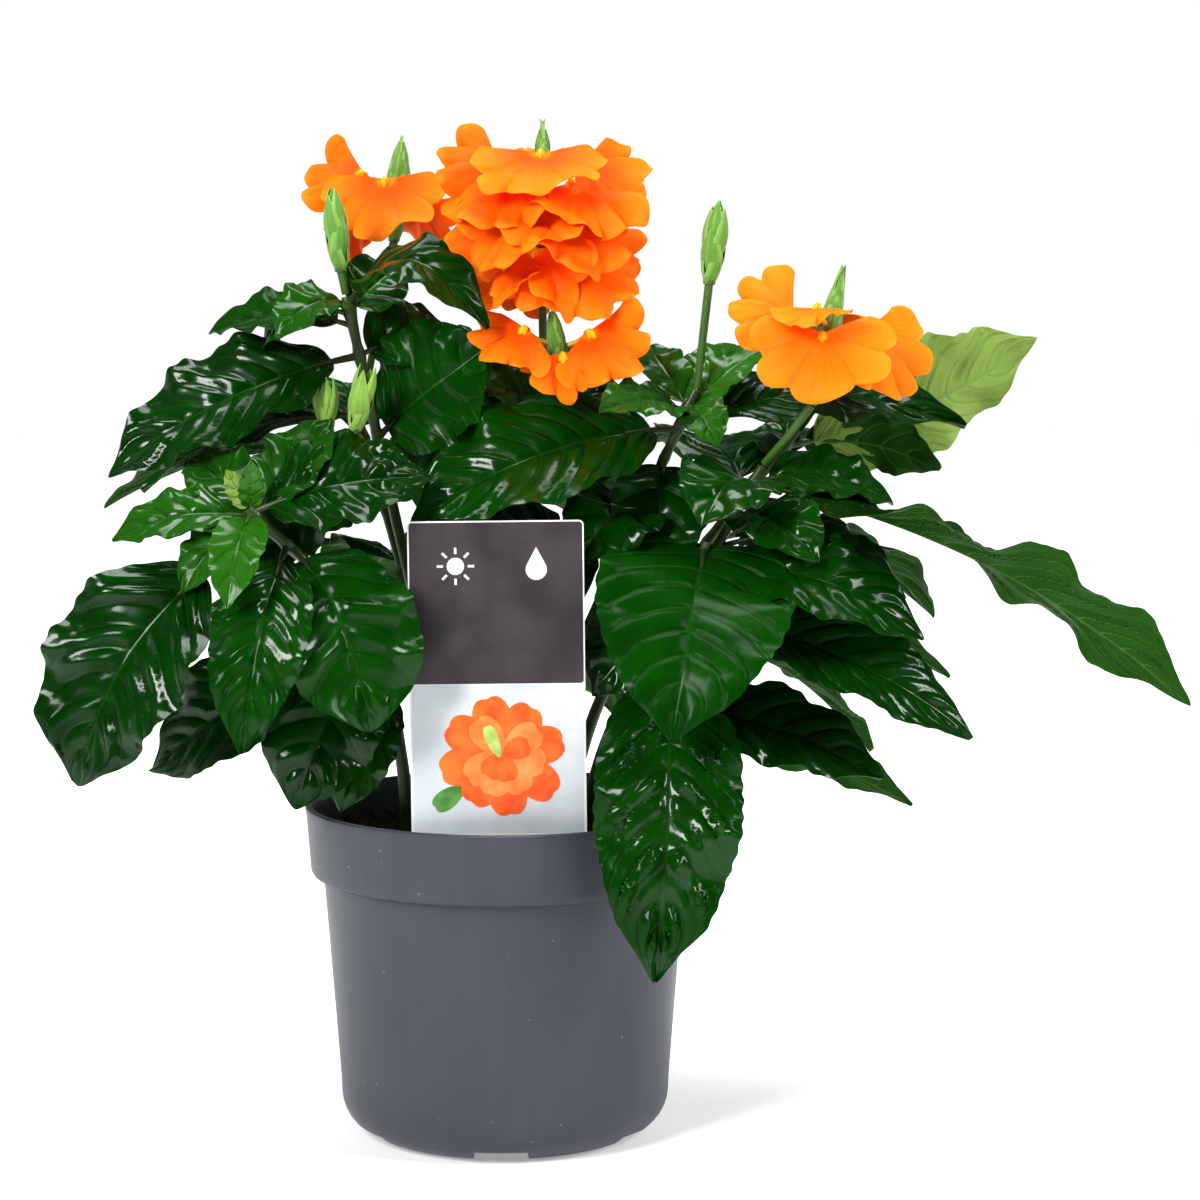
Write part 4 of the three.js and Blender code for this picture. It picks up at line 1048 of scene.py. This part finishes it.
POT_DARK, POT_LIGHT = rgb(0.05, 0.055, 0.068), rgb(0.06, 0.066, 0.082)
POT_STREAK, POT_DUST = rgb(0.1, 0.106, 0.122), rgb(0.42, 0.42, 0.41)
PEAT_DARK, PEAT_LIGHT = rgb(0.008, 0.0045, 0.003), rgb(0.045, 0.024, 0.014)
PEAT_CRUMB, PEAT_BARK = rgb(0.06, 0.03, 0.016), rgb(0.26, 0.13, 0.09)
FLOOR_DARK, FLOOR_LIGHT = rgb(0.86, 0.86, 0.86), rgb(0.88, 0.88, 0.88)


def pot_finish():
    """Satin grey plastic with a faint grain, cloudy handling marks and pale specks of dust."""
    material, tree, shader = new_finish("grey_pot_plastic", 0.42, 0.3)
    clouds = object_noise(tree, 28, 4)
    place = place_on(tree)
    stretched = add_node(tree, "ShaderNodeMapping", {"Vector": place, "Scale": (1.0, 1.0, 0.12)}).outputs[0]
    streaks = add_node(tree, "ShaderNodeTexNoise", {"Vector": stretched, "Scale": 260.0, "Detail": 2.0})
    streak = streaks.outputs["Fac"]
    specks = add_node(tree, "ShaderNodeTexVoronoi", {"Vector": place, "Scale": 130.0, "Randomness": 1.0})
    speck = ramped(tree, specks.outputs["Distance"], 0.03, 0.07, 0.3, 0)
    body = mixed(tree, ramped(tree, clouds, 0.3, 0.7), POT_DARK, POT_LIGHT)
    body = mixed(tree, maths(tree, "MULTIPLY", streak, 0.25), body, POT_STREAK)
    dress(tree, shader, "Base Color", mixed(tree, speck, body, POT_DUST))
    dress(tree, shader, "Roughness", maths(tree, "MULTIPLY_ADD", clouds, 0.22, 0.3))
    fine = bumped(tree, shader, object_noise(tree, 1400, 2), 0.08, 0.0002)
    bumped(tree, shader, streak, 0.05, 0.0004, fine)
    return material


def soil_finish():
    """Dark peat whose crumbs are browner, with a few bits of reddish bark."""
    material, tree, shader = new_finish("moist_peat", 0.9, 0.25)
    tone = add_node(tree, "ShaderNodeAttribute", attribute_name="tone").outputs["Fac"]
    grain = object_noise(tree, 500, 6, 0.7)
    body = mixed(tree, grain, PEAT_DARK, PEAT_LIGHT)
    body = mixed(tree, ramped(tree, tone, 0.5, 0.8), body, PEAT_CRUMB)
    body = mixed(tree, ramped(tree, tone, 0.93, 0.98), body, PEAT_BARK)
    dress(tree, shader, "Base Color", body)
    bumped(tree, shader, grain, 0.8, 0.0015)
    return material


def card_finish(name, dark, light, scale, roughness=0.35):
    """Smooth printed plastic whose ink varies a little between two shades."""
    material, tree, shader = new_finish(name, roughness, 0.5)
    cloud = ramped(tree, object_noise(tree, scale, 3), 0.3, 0.7)
    dress(tree, shader, "Base Color", mixed(tree, cloud, rgb(*dark), rgb(*light)))
    bumped(tree, shader, object_noise(tree, 900, 2), 0.04, 0.0002)
    return material


def floor_finish():
    """Pale paper that glows behind the plant, as a lit sweep does."""
    material, tree, shader = new_finish("pale_floor", 0.7, 0.2)
    dress(tree, shader, "Base Color", mixed(tree, object_noise(tree, 3), FLOOR_DARK, FLOOR_LIGHT))
    away = add_node(tree, "ShaderNodeSeparateXYZ", {0: place_on(tree)}).outputs[1]
    dress(tree, shader, "Emission Strength", ramped(tree, away, -0.12, 0.4, 0.3, 1.0))
    shader.inputs["Emission Color"].default_value = (1, 1, 1, 1)
    return material


# ---------------------------------------------------------------------------
# Geometry Nodes: a group is built here, run once on a piece, and its result
# kept as a plain mesh.
# ---------------------------------------------------------------------------


def new_group(name, inputs):
    """A node group with a geometry in and out, and named inputs given as (name, kind, value)."""
    tree = bpy.data.node_groups.new(name, "GeometryNodeTree")
    tree.interface.new_socket("Geometry", in_out="INPUT", socket_type="NodeSocketGeometry")
    for label, kind, value in inputs:
        socket = tree.interface.new_socket(label, in_out="INPUT", socket_type="NodeSocket" + kind)
        socket.default_value = value
    tree.interface.new_socket("Geometry", in_out="OUTPUT", socket_type="NodeSocketGeometry")
    return tree, tree.nodes.new("NodeGroupInput").outputs, tree.nodes.new("NodeGroupOutput")


def end_group(tree, geometry, finish, end):
    """Ends a group: its copies become real faces, and all of them take the finish."""
    real = add_node(tree, "GeometryNodeRealizeInstances", {0: geometry})
    dressed = add_node(tree, "GeometryNodeSetMaterial", {"Geometry": real.outputs[0], "Material": finish})
    tree.links.new(dressed.outputs[0], end.inputs[0])
    return tree


def copies_on(tree, points, shape, turn, size):
    inputs = {"Points": points, "Instance": shape, "Rotation": turn, "Scale": size}
    return add_node(tree, "GeometryNodeInstanceOnPoints", inputs).outputs[0]


def evaluated_mesh(piece):
    graph = bpy.context.evaluated_depsgraph_get()
    return bpy.data.meshes.new_from_object(piece.evaluated_get(graph))


def grown(piece, tree, values, name):
    """The piece with the group run on it, as a new plain mesh object. The first piece is removed."""
    modifier = piece.modifiers.new("grow", "NODES")
    modifier.node_group = tree
    for socket in tree.interface.items_tree:
        if socket.item_type == "SOCKET" and socket.in_out == "INPUT" and socket.name in values:
            modifier[socket.identifier] = values[socket.name]
    bpy.context.view_layer.update()
    mesh = evaluated_mesh(piece)
    piece.modifiers.clear()
    mesh.name = name
    made = bpy.data.objects.new(name, mesh)
    bpy.context.scene.collection.objects.link(made)
    bpy.data.objects.remove(piece)
    return made


# ---------------------------------------------------------------------------
# Flower spikes: pairs of overlapping bracts, each pair crossing the one below.
# ---------------------------------------------------------------------------


def bract_swell(tree, share):
    """How full the spike is at a share of its height, between SPIKE_LEAST and 1."""
    angle = maths(tree, "MULTIPLY_ADD", share, (1 - SPIKE_START) * math.pi, SPIKE_START * math.pi)
    wave = maths(tree, "POWER", maths(tree, "SINE", angle), SPIKE_POWER)
    return maths(tree, "MULTIPLY_ADD", wave, 1 - SPIKE_LEAST, SPIKE_LEAST)


def bract_group(finish):
    """Copies of one bract in pairs up a spike, the two of a pair facing opposite ways."""
    tree, value, end = new_group("crossing_bract_pairs", [
        ("Pairs", "Int", 8), ("Gap", "Float", 0.003), ("Radius", "Float", 0.004),
        ("Foot", "Vector", (0, 0, 0)), ("Aim", "Vector", (0, 0, 0)), ("Closing", "Float", BRACT_CLOSING),
    ])
    number = add_node(tree, "GeometryNodeInputIndex").outputs[0]
    pair = maths(tree, "FLOOR", maths(tree, "DIVIDE", number, 2.0))
    share = maths(tree, "DIVIDE", pair, value["Pairs"])
    swell = bract_swell(tree, share)
    half_turns = maths(tree, "MULTIPLY", maths(tree, "MODULO", number, 2.0), math.pi)
    turn = maths(tree, "ADD", half_turns, maths(tree, "MULTIPLY", pair, PAIR_TURN))
    radius = maths(tree, "MULTIPLY", maths(tree, "MULTIPLY", value["Radius"], 0.42), swell)
    x = maths(tree, "MULTIPLY", radius, maths(tree, "COSINE", turn))
    y = maths(tree, "MULTIPLY", radius, maths(tree, "SINE", turn))
    height = maths(tree, "MULTIPLY", pair, value["Gap"])
    place = add_node(tree, "ShaderNodeCombineXYZ", {0: x, 1: y, 2: height}).outputs[0]
    count = maths(tree, "MULTIPLY", value["Pairs"], 2.0)
    points = add_node(tree, "GeometryNodePoints", {"Count": count, "Position": place}).outputs[0]
    lean = maths(tree, "MULTIPLY_ADD", maths(tree, "POWER", share, 2.0), value["Closing"], 0.1)
    aim = add_node(tree, "ShaderNodeCombineXYZ", {0: 0.0, 1: lean, 2: turn}).outputs[0]
    size = maths(tree, "MULTIPLY_ADD", swell, 0.62, 0.42)
    copies = copies_on(tree, points, value["Geometry"], aim, size)
    whole = {"Geometry": copies, "Translation": value["Foot"], "Rotation": value["Aim"]}
    placed = add_node(tree, "GeometryNodeTransform", whole).outputs[0]
    return end_group(tree, placed, finish, end)


def one_bract(length, width, finish):
    """A pointed, keeled bract that grows up from the origin and curves round the +X side."""
    share = np.linspace(0, 1, BRACT_ROWS)[:, None]
    across = np.linspace(-1, 1, BRACT_COLUMNS)[None, :]
    half = np.maximum(width / 2 * outline(0.06 + 0.94 * share, (0.5, 1.0)), 0.12)
    belly = 0.11 * length * np.sin(math.pi * share) - 0.055 * length * share**2
    bend = -0.75 * half * across**2
    keel = 0.2 * np.exp(-((across / 0.2) ** 2)) * (1 - share)
    flat = np.stack(np.broadcast_arrays(belly + bend, half * across, length * share), -1)
    outer = flat + np.stack(np.broadcast_arrays(BRACT_HALF + keel, 0, 0), -1)
    inner = flat - np.array([BRACT_HALF, 0, 0])
    maps = np.stack(np.broadcast_arrays((across + 1) / 2, share), -1).reshape(-1, 2)
    points = np.concatenate([outer.reshape(-1, 3), inner.reshape(-1, 3)])
    faces = [face[::-1] for face in sheet_faces(BRACT_ROWS, BRACT_COLUMNS)]
    skin = Skin()
    skin.add(points, faces, np.concatenate([maps, maps]))
    return skin.piece("one_bract", [finish], 70)


def spike_bracts(name, spike, group, finish):
    foot, tip = np.array(spike["base"], float), np.array(spike["tip"], float)
    radius = spike["radius"]
    length = np.linalg.norm(tip - foot)
    pairs = max(3, round((length - 2.4 * radius) / BRACT_GAP))
    bract = one_bract(3.7 * radius + 1, 1.75 * radius, finish)
    bracts = grown(bract, group, {
        "Pairs": pairs,
        "Gap": (length - 1.9 * radius) / pairs * MM,
        "Radius": radius * MM,
        "Foot": tuple(foot * MM),
        "Aim": tuple(Vector((tip - foot) / length).to_track_quat("Z", "X").to_euler()),
        "Closing": BRACT_OPENING if spike.get("young") else BRACT_CLOSING,
    }, name + "_bracts")
    settle(bracts, "spike", name)


def spike_stalk(name, spike, finish):
    """The core that the bracts stand on and the stalk below it, as one piece."""
    foot, tip = np.array(spike["base"], float), np.array(spike["tip"], float)
    steps = np.linspace(0, 1, 15)
    wave = np.sin(math.pi * (SPIKE_START + (1 - SPIKE_START) * steps)) ** SPIKE_POWER
    swell = SPIKE_LEAST + (1 - SPIKE_LEAST) * wave
    skin = Skin()
    tube(skin, foot + np.outer(steps, tip - foot) * 0.9, 0.6 * spike["radius"] * swell, 10, (1, 0.8, 0.5, 0))
    path = spline([*spike["stalk"], spike["base"]], 30)
    tube(skin, path, np.linspace(STALK_RADIUS, STALK_RADIUS * 1.15, len(path)), 10, (1, 0.9, 0.5, 0))
    settle(skin.piece(name.replace("spike", "stalk"), [finish]), "spike")


# ---------------------------------------------------------------------------
# Pot.
# ---------------------------------------------------------------------------


def arc(centre, radius, start, end, steps):
    angles = np.radians(np.linspace(start, end, steps))
    return [(centre[0] + radius * math.cos(a), centre[1] + radius * math.sin(a)) for a in angles]


def lathed(skin, profile, sides):
    """A closed skin turned about the pot's axis from (radius, height) points, with a disc at each end."""
    angles = np.linspace(0, FULL_TURN, sides, endpoint=False)
    rings = [np.stack([r * np.cos(angles), r * np.sin(angles), np.full(sides, z)], 1) for r, z in profile]
    faces = []
    for ring in range(len(rings) - 1):
        for corner in range(sides):
            a, b = ring * sides + corner, ring * sides + (corner + 1) % sides
            faces.append((a, b, b + sides, a + sides))
    last = (len(rings) - 1) * sides
    faces.append(tuple(range(sides))[::-1])
    faces.append(tuple(range(last, last + sides)))
    skin.add(np.concatenate(rings), faces)


def pot_profile():
    """Outer side from the pad in the base's middle up to the rim, then down the inside to the floor."""
    outside = [
        (0.5, 0), (15.2, 0), (16, 0.4), (17.5, 4.5), (35, 4.5), (35.5, 4), (35.5, 0.4), (35.9, 0), (40.5, 0),
        *arc((40.5, 13.2), 13.2, -80, -4, 9),
        (53.9, 18), (56.4, 50), (59, 83.2),
        (59.3, 84), (60.4, 84.6), (62.6, 85.6), (63.2, 86.6), (63.4, 88.5),
        (64.6, 104.5), (65, 106.6), (64.9, 107.5), (64.4, 107.9),
    ]
    inside = [
        (63.1, 107.9), (62.8, 107.4), (62.3, 104), (61.8, 89), (61.4, 87), (58, 84.4), (57.6, 82),
        (55, 50), (52.4, 18), (50.5, 13), (46.5, 9.6), (40.5, 5.9), (0.5, 5.9),
    ]
    return outside + inside


def add_notch(skin, out, side):
    """A block that cuts one notch in the foot ring, narrower at its top."""
    near, far = NOTCH_REACH
    corners = []
    for z, half in ((-2, NOTCH_WIDTH / 2), (NOTCH_HEIGHT, NOTCH_WIDTH / 2 - NOTCH_TAPER)):
        for reach, sign in ((near, -1), (far, -1), (far, 1), (near, 1)):
            corners.append(out * reach + side * half * sign + np.array([0, 0, z]))
    skin.add(corners, [(3, 2, 1, 0), (4, 5, 6, 7), (0, 1, 5, 4), (1, 2, 6, 5), (2, 3, 7, 6), (3, 0, 4, 7)])


def foot_cutters():
    """Blocks for the notches in the foot ring and pegs for the drain holes, as one piece."""
    skin = Skin()
    for index in range(NOTCHES):
        angle = FULL_TURN * index / NOTCHES - math.pi / 2
        out = np.array([math.cos(angle), math.sin(angle), 0])
        side = np.array([-out[1], out[0], 0])
        add_notch(skin, out, side)
        peg = [out * DRAIN_CIRCLE + (0, 0, z) for z in (-3, 3, 9)]
        tube(skin, peg, (DRAIN_RADIUS,) * 3, 32)
    return skin.piece("foot_cutters", [])


def make_pot(finish):
    skin = Skin()
    lathed(skin, pot_profile(), POT_SIDES)
    pot = skin.piece("nursery_pot", [finish], POT_SHARP)
    tool = foot_cutters()
    cut = pot.modifiers.new("cut", "BOOLEAN")
    cut.operation = "DIFFERENCE"
    cut.solver = "EXACT"
    cut.object = tool
    mesh = evaluated_mesh(pot)
    pot.modifiers.clear()
    pot.data = mesh
    bpy.data.objects.remove(tool)
    mesh.set_sharp_from_angle(angle=math.radians(POT_SHARP))
    settle(pot, "pot", "pot")


# ---------------------------------------------------------------------------
# Soil: a lumpy peat surface with loose crumbs and bits of bark on it.
# ---------------------------------------------------------------------------


def soil_height(x, y):
    place = Vector((x, y, 0))
    return sum((height * noise.noise(place * pitch) for pitch, height in SOIL_LUMPS), SOIL_LEVEL)


def soil_body(finish):
    profile = [(46, 6.4), (52, 18.5), (56.6, 80), (60, 89), (61.3, 96.2)]
    profile += [(radius, SOIL_LEVEL) for radius in np.linspace(60.6, 0.6, SOIL_RINGS)]
    skin = Skin()
    lathed(skin, profile, SOIL_SIDES)
    for points in skin.points:
        for point in points:
            if point[2] > SOIL_LEVEL - 0.1:
                point[2] = soil_height(point[0], point[1])
    return skin.piece("peat", [finish], 60)


def random_vector(tree, low, high, seed):
    inputs = {0: low, 1: high, "Seed": seed}
    return add_node(tree, "FunctionNodeRandomValue", inputs, data_type="FLOAT_VECTOR").outputs[0]


def crumb_group(finish):
    """Squashed little balls on every face that looks up, each with a tone of its own."""
    tree, value, end = new_group("scattered_crumbs", [
        ("Density", "Float", CRUMB_DENSITY), ("Crumb", "Float", CRUMB_RADIUS * MM), ("Seed", "Int", 3),
    ])
    normal = add_node(tree, "GeometryNodeInputNormal").outputs[0]
    facing = add_node(tree, "ShaderNodeSeparateXYZ", {0: normal})
    upward = maths(tree, "GREATER_THAN", facing.outputs[2], 0.6)
    spots = add_node(tree, "GeometryNodeDistributePointsOnFaces", {
        "Mesh": value["Geometry"], "Selection": upward, "Density": value["Density"], "Seed": value["Seed"],
    })
    ball = add_node(tree, "GeometryNodeMeshIcoSphere", {"Radius": value["Crumb"], "Subdivisions": 1})
    spin = random_vector(tree, (0, 0, 0), (6.28, 6.28, 6.28), 5)
    size = random_vector(tree, CRUMB_LEAST, CRUMB_MOST, 8)
    copies = copies_on(tree, spots.outputs[0], ball.outputs[0], spin, size)
    tone = add_node(tree, "FunctionNodeRandomValue", {2: 0.0, 3: 1.0, "Seed": 11}, data_type="FLOAT")
    toned = add_node(tree, "GeometryNodeStoreNamedAttribute", {
        "Geometry": copies, "Name": "tone", "Value": tone.outputs[1],
    }, data_type="FLOAT", domain="INSTANCE")
    joined = tree.nodes.new("GeometryNodeJoinGeometry")
    tree.links.new(toned.outputs[0], joined.inputs[0])
    tree.links.new(value["Geometry"], joined.inputs[0])
    return end_group(tree, joined.outputs[0], finish, end)


def make_soil(finish):
    values = {"Density": CRUMB_DENSITY, "Crumb": CRUMB_RADIUS * MM, "Seed": 3}
    settle(grown(soil_body(finish), crumb_group(finish), values, "peat_with_crumbs"), "soil", "soil")


# ---------------------------------------------------------------------------
# Label: a tapered plastic card with a plain dark panel, two care signs and a
# simple flower drawing. The print is thin film on the card's front.
# ---------------------------------------------------------------------------

CARD, SLATE, PALE, WHITE_INK, LEAF_INK, PETAL_INK, INNER_INK, BUD_INK = range(8)

CARD_FINISHES = [
    ("white_card", (0.8, 0.8, 0.8), (0.84, 0.84, 0.84), 30),
    ("slate_panel", (0.035, 0.029, 0.034), (0.062, 0.052, 0.06), 60, 0.3),
    ("pale_panel", (0.55, 0.6, 0.64), (0.76, 0.79, 0.81), 35),
    ("white_print", (0.74, 0.74, 0.74), (0.8, 0.8, 0.8), 60),
    ("leaf_print", (0.05, 0.2, 0.03), (0.16, 0.38, 0.08), 160),
    ("petal_print", (0.9, 0.09, 0.006), (1.0, 0.2, 0.02), 140),
    ("inner_petal_print", (1.0, 0.2, 0.03), (1.0, 0.36, 0.1), 140),
    ("bud_print", (0.35, 0.5, 0.1), (0.6, 0.7, 0.25), 200),
]

# The drawn flower's petals, from the lowest layer up: angle in degrees, length and width.
OUTER_PETALS = [(12, 20), (58, 18), (106, 19), (152, 20), (196, 21), (236, 19), (276, 20), (322, 21)]
MIDDLE_PETALS = [34, 128, 214, 252, 298, 345]
INNER_PETALS = [20, 232, 280]


def on_card(x, z, out):
    """A point of the card's own plane, x across and z up from the base, `out` mm before its middle."""
    turn, lean = math.radians(LABEL_TURN), math.radians(-LABEL_LEAN)
    up = z - LABEL_TAPER
    x, up = x * math.cos(turn) + up * math.sin(turn), -x * math.sin(turn) + up * math.cos(turn)
    y = -out
    y, up = y * math.cos(lean) - up * math.sin(lean), y * math.sin(lean) + up * math.cos(lean)
    return (x, LABEL_FRONT + y, LABEL_TAPER + up)


def plate(skin, corners, back, front, finish):
    """A flat plate from a convex or star-shaped outline of (x, z) corners, anticlockwise from the front."""
    centre = np.mean(corners, axis=0)
    points = [on_card(x, z, front) for x, z in corners] + [on_card(x, z, back) for x, z in corners]
    points += [on_card(*centre, front), on_card(*centre, back)]
    count = len(corners)
    faces = []
    for corner in range(count):
        beside = (corner + 1) % count
        faces.append((corner, beside, 2 * count))
        faces.append((count + beside, count + corner, 2 * count + 1))
        faces.append((beside, corner, count + corner, count + beside))
    skin.add(points, faces, finish=finish)


def sign_plate(skin, corners):
    """A white shape printed over a panel."""
    plate(skin, corners, CARD_FACE + PRINT_FILM - PRINT_LAP, CARD_FACE + 2 * PRINT_FILM, WHITE_INK)


def rounded_box(left, low, right, high, radius):
    corners = []
    for x, z, start in ((right, low, -90), (right, high, 0), (left, high, 90), (left, low, 180)):
        inward = (x - radius if x == right else x + radius, z - radius if z == high else z + radius)
        corners += arc(inward, radius, start, start + 90, 5)
    return corners


def petal_shape(centre, angle, length, width):
    """A rounded, slightly notched petal outline that runs out from a centre at an angle in degrees."""
    out = np.array([math.cos(math.radians(angle)), math.sin(math.radians(angle))])
    side = np.array([-out[1], out[0]])
    corners = []
    for turn in np.linspace(0, FULL_TURN, 28, endpoint=False):
        notch = 0.06 * length * math.exp(-((turn - math.pi) / 0.25) ** 2)
        reach = length * (0.5 - 0.5 * math.cos(turn)) - notch
        half = width / 2 * math.sin(turn) * (0.55 + 0.45 * reach / length)
        corners.append(tuple(np.array(centre) + out * reach - side * half))
    return corners


def card_outline():
    half, inward = LABEL_WIDTH / 2, LABEL_WIDTH / 2 - LABEL_CORNER
    stake = [(-LABEL_STAKE, 60), (0, 52), (LABEL_STAKE, 60)]
    right = arc((inward, LABEL_TOP - LABEL_CORNER), LABEL_CORNER, 0, 90, 5)
    left = arc((-inward, LABEL_TOP - LABEL_CORNER), LABEL_CORNER, 90, 180, 5)
    return [(-half, LABEL_TAPER), *stake, (half, LABEL_TAPER), *right, *left]


def add_panels(skin):
    """The dark panel above and the pale picture ground below it."""
    half, split = LABEL_WIDTH / 2, LABEL_TOP - PANEL_HEIGHT
    dark = rounded_box(-half + 0.5, split, half - 0.5, LABEL_TOP - 0.5, 1)
    pale = rounded_box(-half + 0.8, PICTURE_FOOT, half - 0.8, split - 0.4, 0.4)
    for corners, finish in ((dark, SLATE), (pale, PALE)):
        plate(skin, corners, CARD_FACE - 2 * PRINT_LAP, CARD_FACE + PRINT_FILM, finish)


def draw_sun(skin, centre):
    sign_plate(skin, arc(centre, 2.7, 0, 345, 24))
    for ray in range(8):
        angle = ray * FULL_TURN / 8
        out = np.array([math.cos(angle), math.sin(angle)])
        side = np.array([-out[1], out[0]]) * 0.38
        start, end = np.array(centre) + out * 3.8, np.array(centre) + out * 5.8
        sign_plate(skin, [tuple(start - side), tuple(end - side), tuple(end + side), tuple(start + side)])


def draw_drop(skin, centre):
    x, z = centre
    sign_plate(skin, [*arc((x, z - 1.2), 3.3, -205, 25, 26), (x, z + 5.8)])


def flower_shapes(x, z):
    """A leaf, petals in three layers and a green bud, each with its ink, from the lowest up."""
    yield petal_shape((x - 12, z - 10), 215, 12, 8), LEAF_INK
    for angle, length in OUTER_PETALS:
        yield petal_shape((x, z), angle, length, 15), PETAL_INK
    for angle in MIDDLE_PETALS:
        yield petal_shape((x, z), angle, 14, 12), INNER_INK
    for angle in INNER_PETALS:
        yield petal_shape((x, z), angle, 9, 9), PETAL_INK
    yield petal_shape((x - 1, z - 1), 112, 11, 5), BUD_INK


def draw_flower(skin, centre):
    for layer, (corners, ink) in enumerate(flower_shapes(*centre), 1):
        height = CARD_FACE + PRINT_FILM + LAYER_STEP * layer
        plate(skin, corners, CARD_FACE, height + 0.05, ink)


def make_label():
    skin = Skin()
    plate(skin, card_outline(), -CARD_FACE, CARD_FACE, CARD)
    add_panels(skin)
    draw_sun(skin, (-SIGN_ASIDE, LABEL_TOP - SIGN_DROP))
    draw_drop(skin, (SIGN_ASIDE, LABEL_TOP - SIGN_DROP))
    draw_flower(skin, (1.5, LABEL_TOP - PANEL_HEIGHT - 22))
    finishes = [card_finish(*finish) for finish in CARD_FINISHES]
    settle(skin.piece("plant_label", finishes, 30), "label", "label")


# ---------------------------------------------------------------------------
# Assembly.
# ---------------------------------------------------------------------------

leaf_look, stem_look = leaf_finish(), stem_finish()
petal_looks = [petal_finish(), throat_finish(), eye_finish()]
bract_look = bract_finish("downy_bract", BRACT_DARK, BRACT_LIGHT)
young_bract_look = bract_finish("young_bract", YOUNG_BRACT_DARK, YOUNG_BRACT_LIGHT)
bract_groups = {look: bract_group(look) for look in (bract_look, young_bract_look)}

make_pot(pot_finish())
make_soil(soil_finish())
make_label()

for shoot in SHOOTS:
    settle(leafy_stem(shoot, [leaf_look, stem_look]), "leaf", shoot["name"])

for spike_name, spike in SPIKES.items():
    look = young_bract_look if spike.get("young") else bract_look
    spike_bracts(spike_name, spike, bract_groups[look], look)
    spike_stalk(spike_name, spike, stem_look)

for bloom_name, bloom in BLOOMS.items():
    settle(bloom_piece(bloom_name, bloom, SPIKES[bloom["around"]], petal_looks), "bloom", bloom_name)


# ---------------------------------------------------------------------------
# Floor, light and camera, in metres.
# ---------------------------------------------------------------------------

# Each softbox has its place, the height that it aims at, its width and height, and its power in watts.
SOFTBOXES = {
    "left_softbox": ((-0.8, -1.0, 0.95), 0.18, (0.4, 0.65), 24),
    "right_softbox": ((1.1, -0.5, 0.85), 0.18, (0.28, 0.65), 13),
    "top_softbox": ((0.0, 0.1, 1.35), 0.2, (0.9, 0.4), 13),
}

CAMERA_PLACE = (0.0312, -1.0, 0.2776)
CAMERA_PITCH = -5.92
CAMERA_LENS = 92.85
SENSOR_WIDTH = 36

FLOOR_HALF = 4
WORLD_DIM = 0.16
WORLD_FRONT = 0.18
VIEW_GAMMA = 0.88


def make_floor():
    mesh = bpy.data.meshes.new("floor")
    corners = [(-FLOOR_HALF, -FLOOR_HALF, 0), (FLOOR_HALF, -FLOOR_HALF, 0),
               (FLOOR_HALF, FLOOR_HALF, 0), (-FLOOR_HALF, FLOOR_HALF, 0)]
    mesh.from_pydata(corners, [], [(0, 1, 2, 3)])
    mesh.materials.append(floor_finish())
    floor = bpy.data.objects.new("floor", mesh)
    bpy.context.scene.collection.objects.link(floor)


def area_light(name, place, height, size, power):
    light = bpy.data.lights.new(name, "AREA")
    light.shape = "RECTANGLE"
    light.size, light.size_y = size
    light.energy = power
    made = bpy.data.objects.new(name, light)
    bpy.context.scene.collection.objects.link(made)
    made.location = place
    made.rotation_euler = (Vector((0, 0, height)) - Vector(place)).to_track_quat("-Z", "Y").to_euler()


def make_world():
    """White light from the sides and from behind, dim from above and from the front."""
    world = bpy.data.worlds.new("studio")
    world.use_nodes = True
    tree = world.node_tree
    direction = add_node(tree, "ShaderNodeTexCoord").outputs["Generated"]
    split = add_node(tree, "ShaderNodeSeparateXYZ", {0: direction})
    band = ramped(tree, split.outputs[2], 0.11, 0.34, 1.0, WORLD_DIM)
    behind = ramped(tree, split.outputs[1], -0.4, 0.3, WORLD_FRONT, 1.0)
    background = tree.nodes["Background"]
    tree.links.new(maths(tree, "MULTIPLY", band, behind), background.inputs["Strength"])
    background.inputs["Color"].default_value = (1, 1, 1, 1)
    bpy.context.scene.world = world


def make_camera():
    data = bpy.data.cameras.new("camera")
    data.lens = CAMERA_LENS
    data.sensor_width = SENSOR_WIDTH
    camera = bpy.data.objects.new("camera", data)
    bpy.context.scene.collection.objects.link(camera)
    camera.location = CAMERA_PLACE
    camera.rotation_euler = Euler((math.radians(90 + CAMERA_PITCH), 0, 0))
    bpy.context.scene.camera = camera


make_floor()
for box_name, box in SOFTBOXES.items():
    area_light(box_name, *box)
make_world()
make_camera()
bpy.context.scene.view_settings.view_transform = "Standard"
bpy.context.scene.view_settings.gamma = VIEW_GAMMA
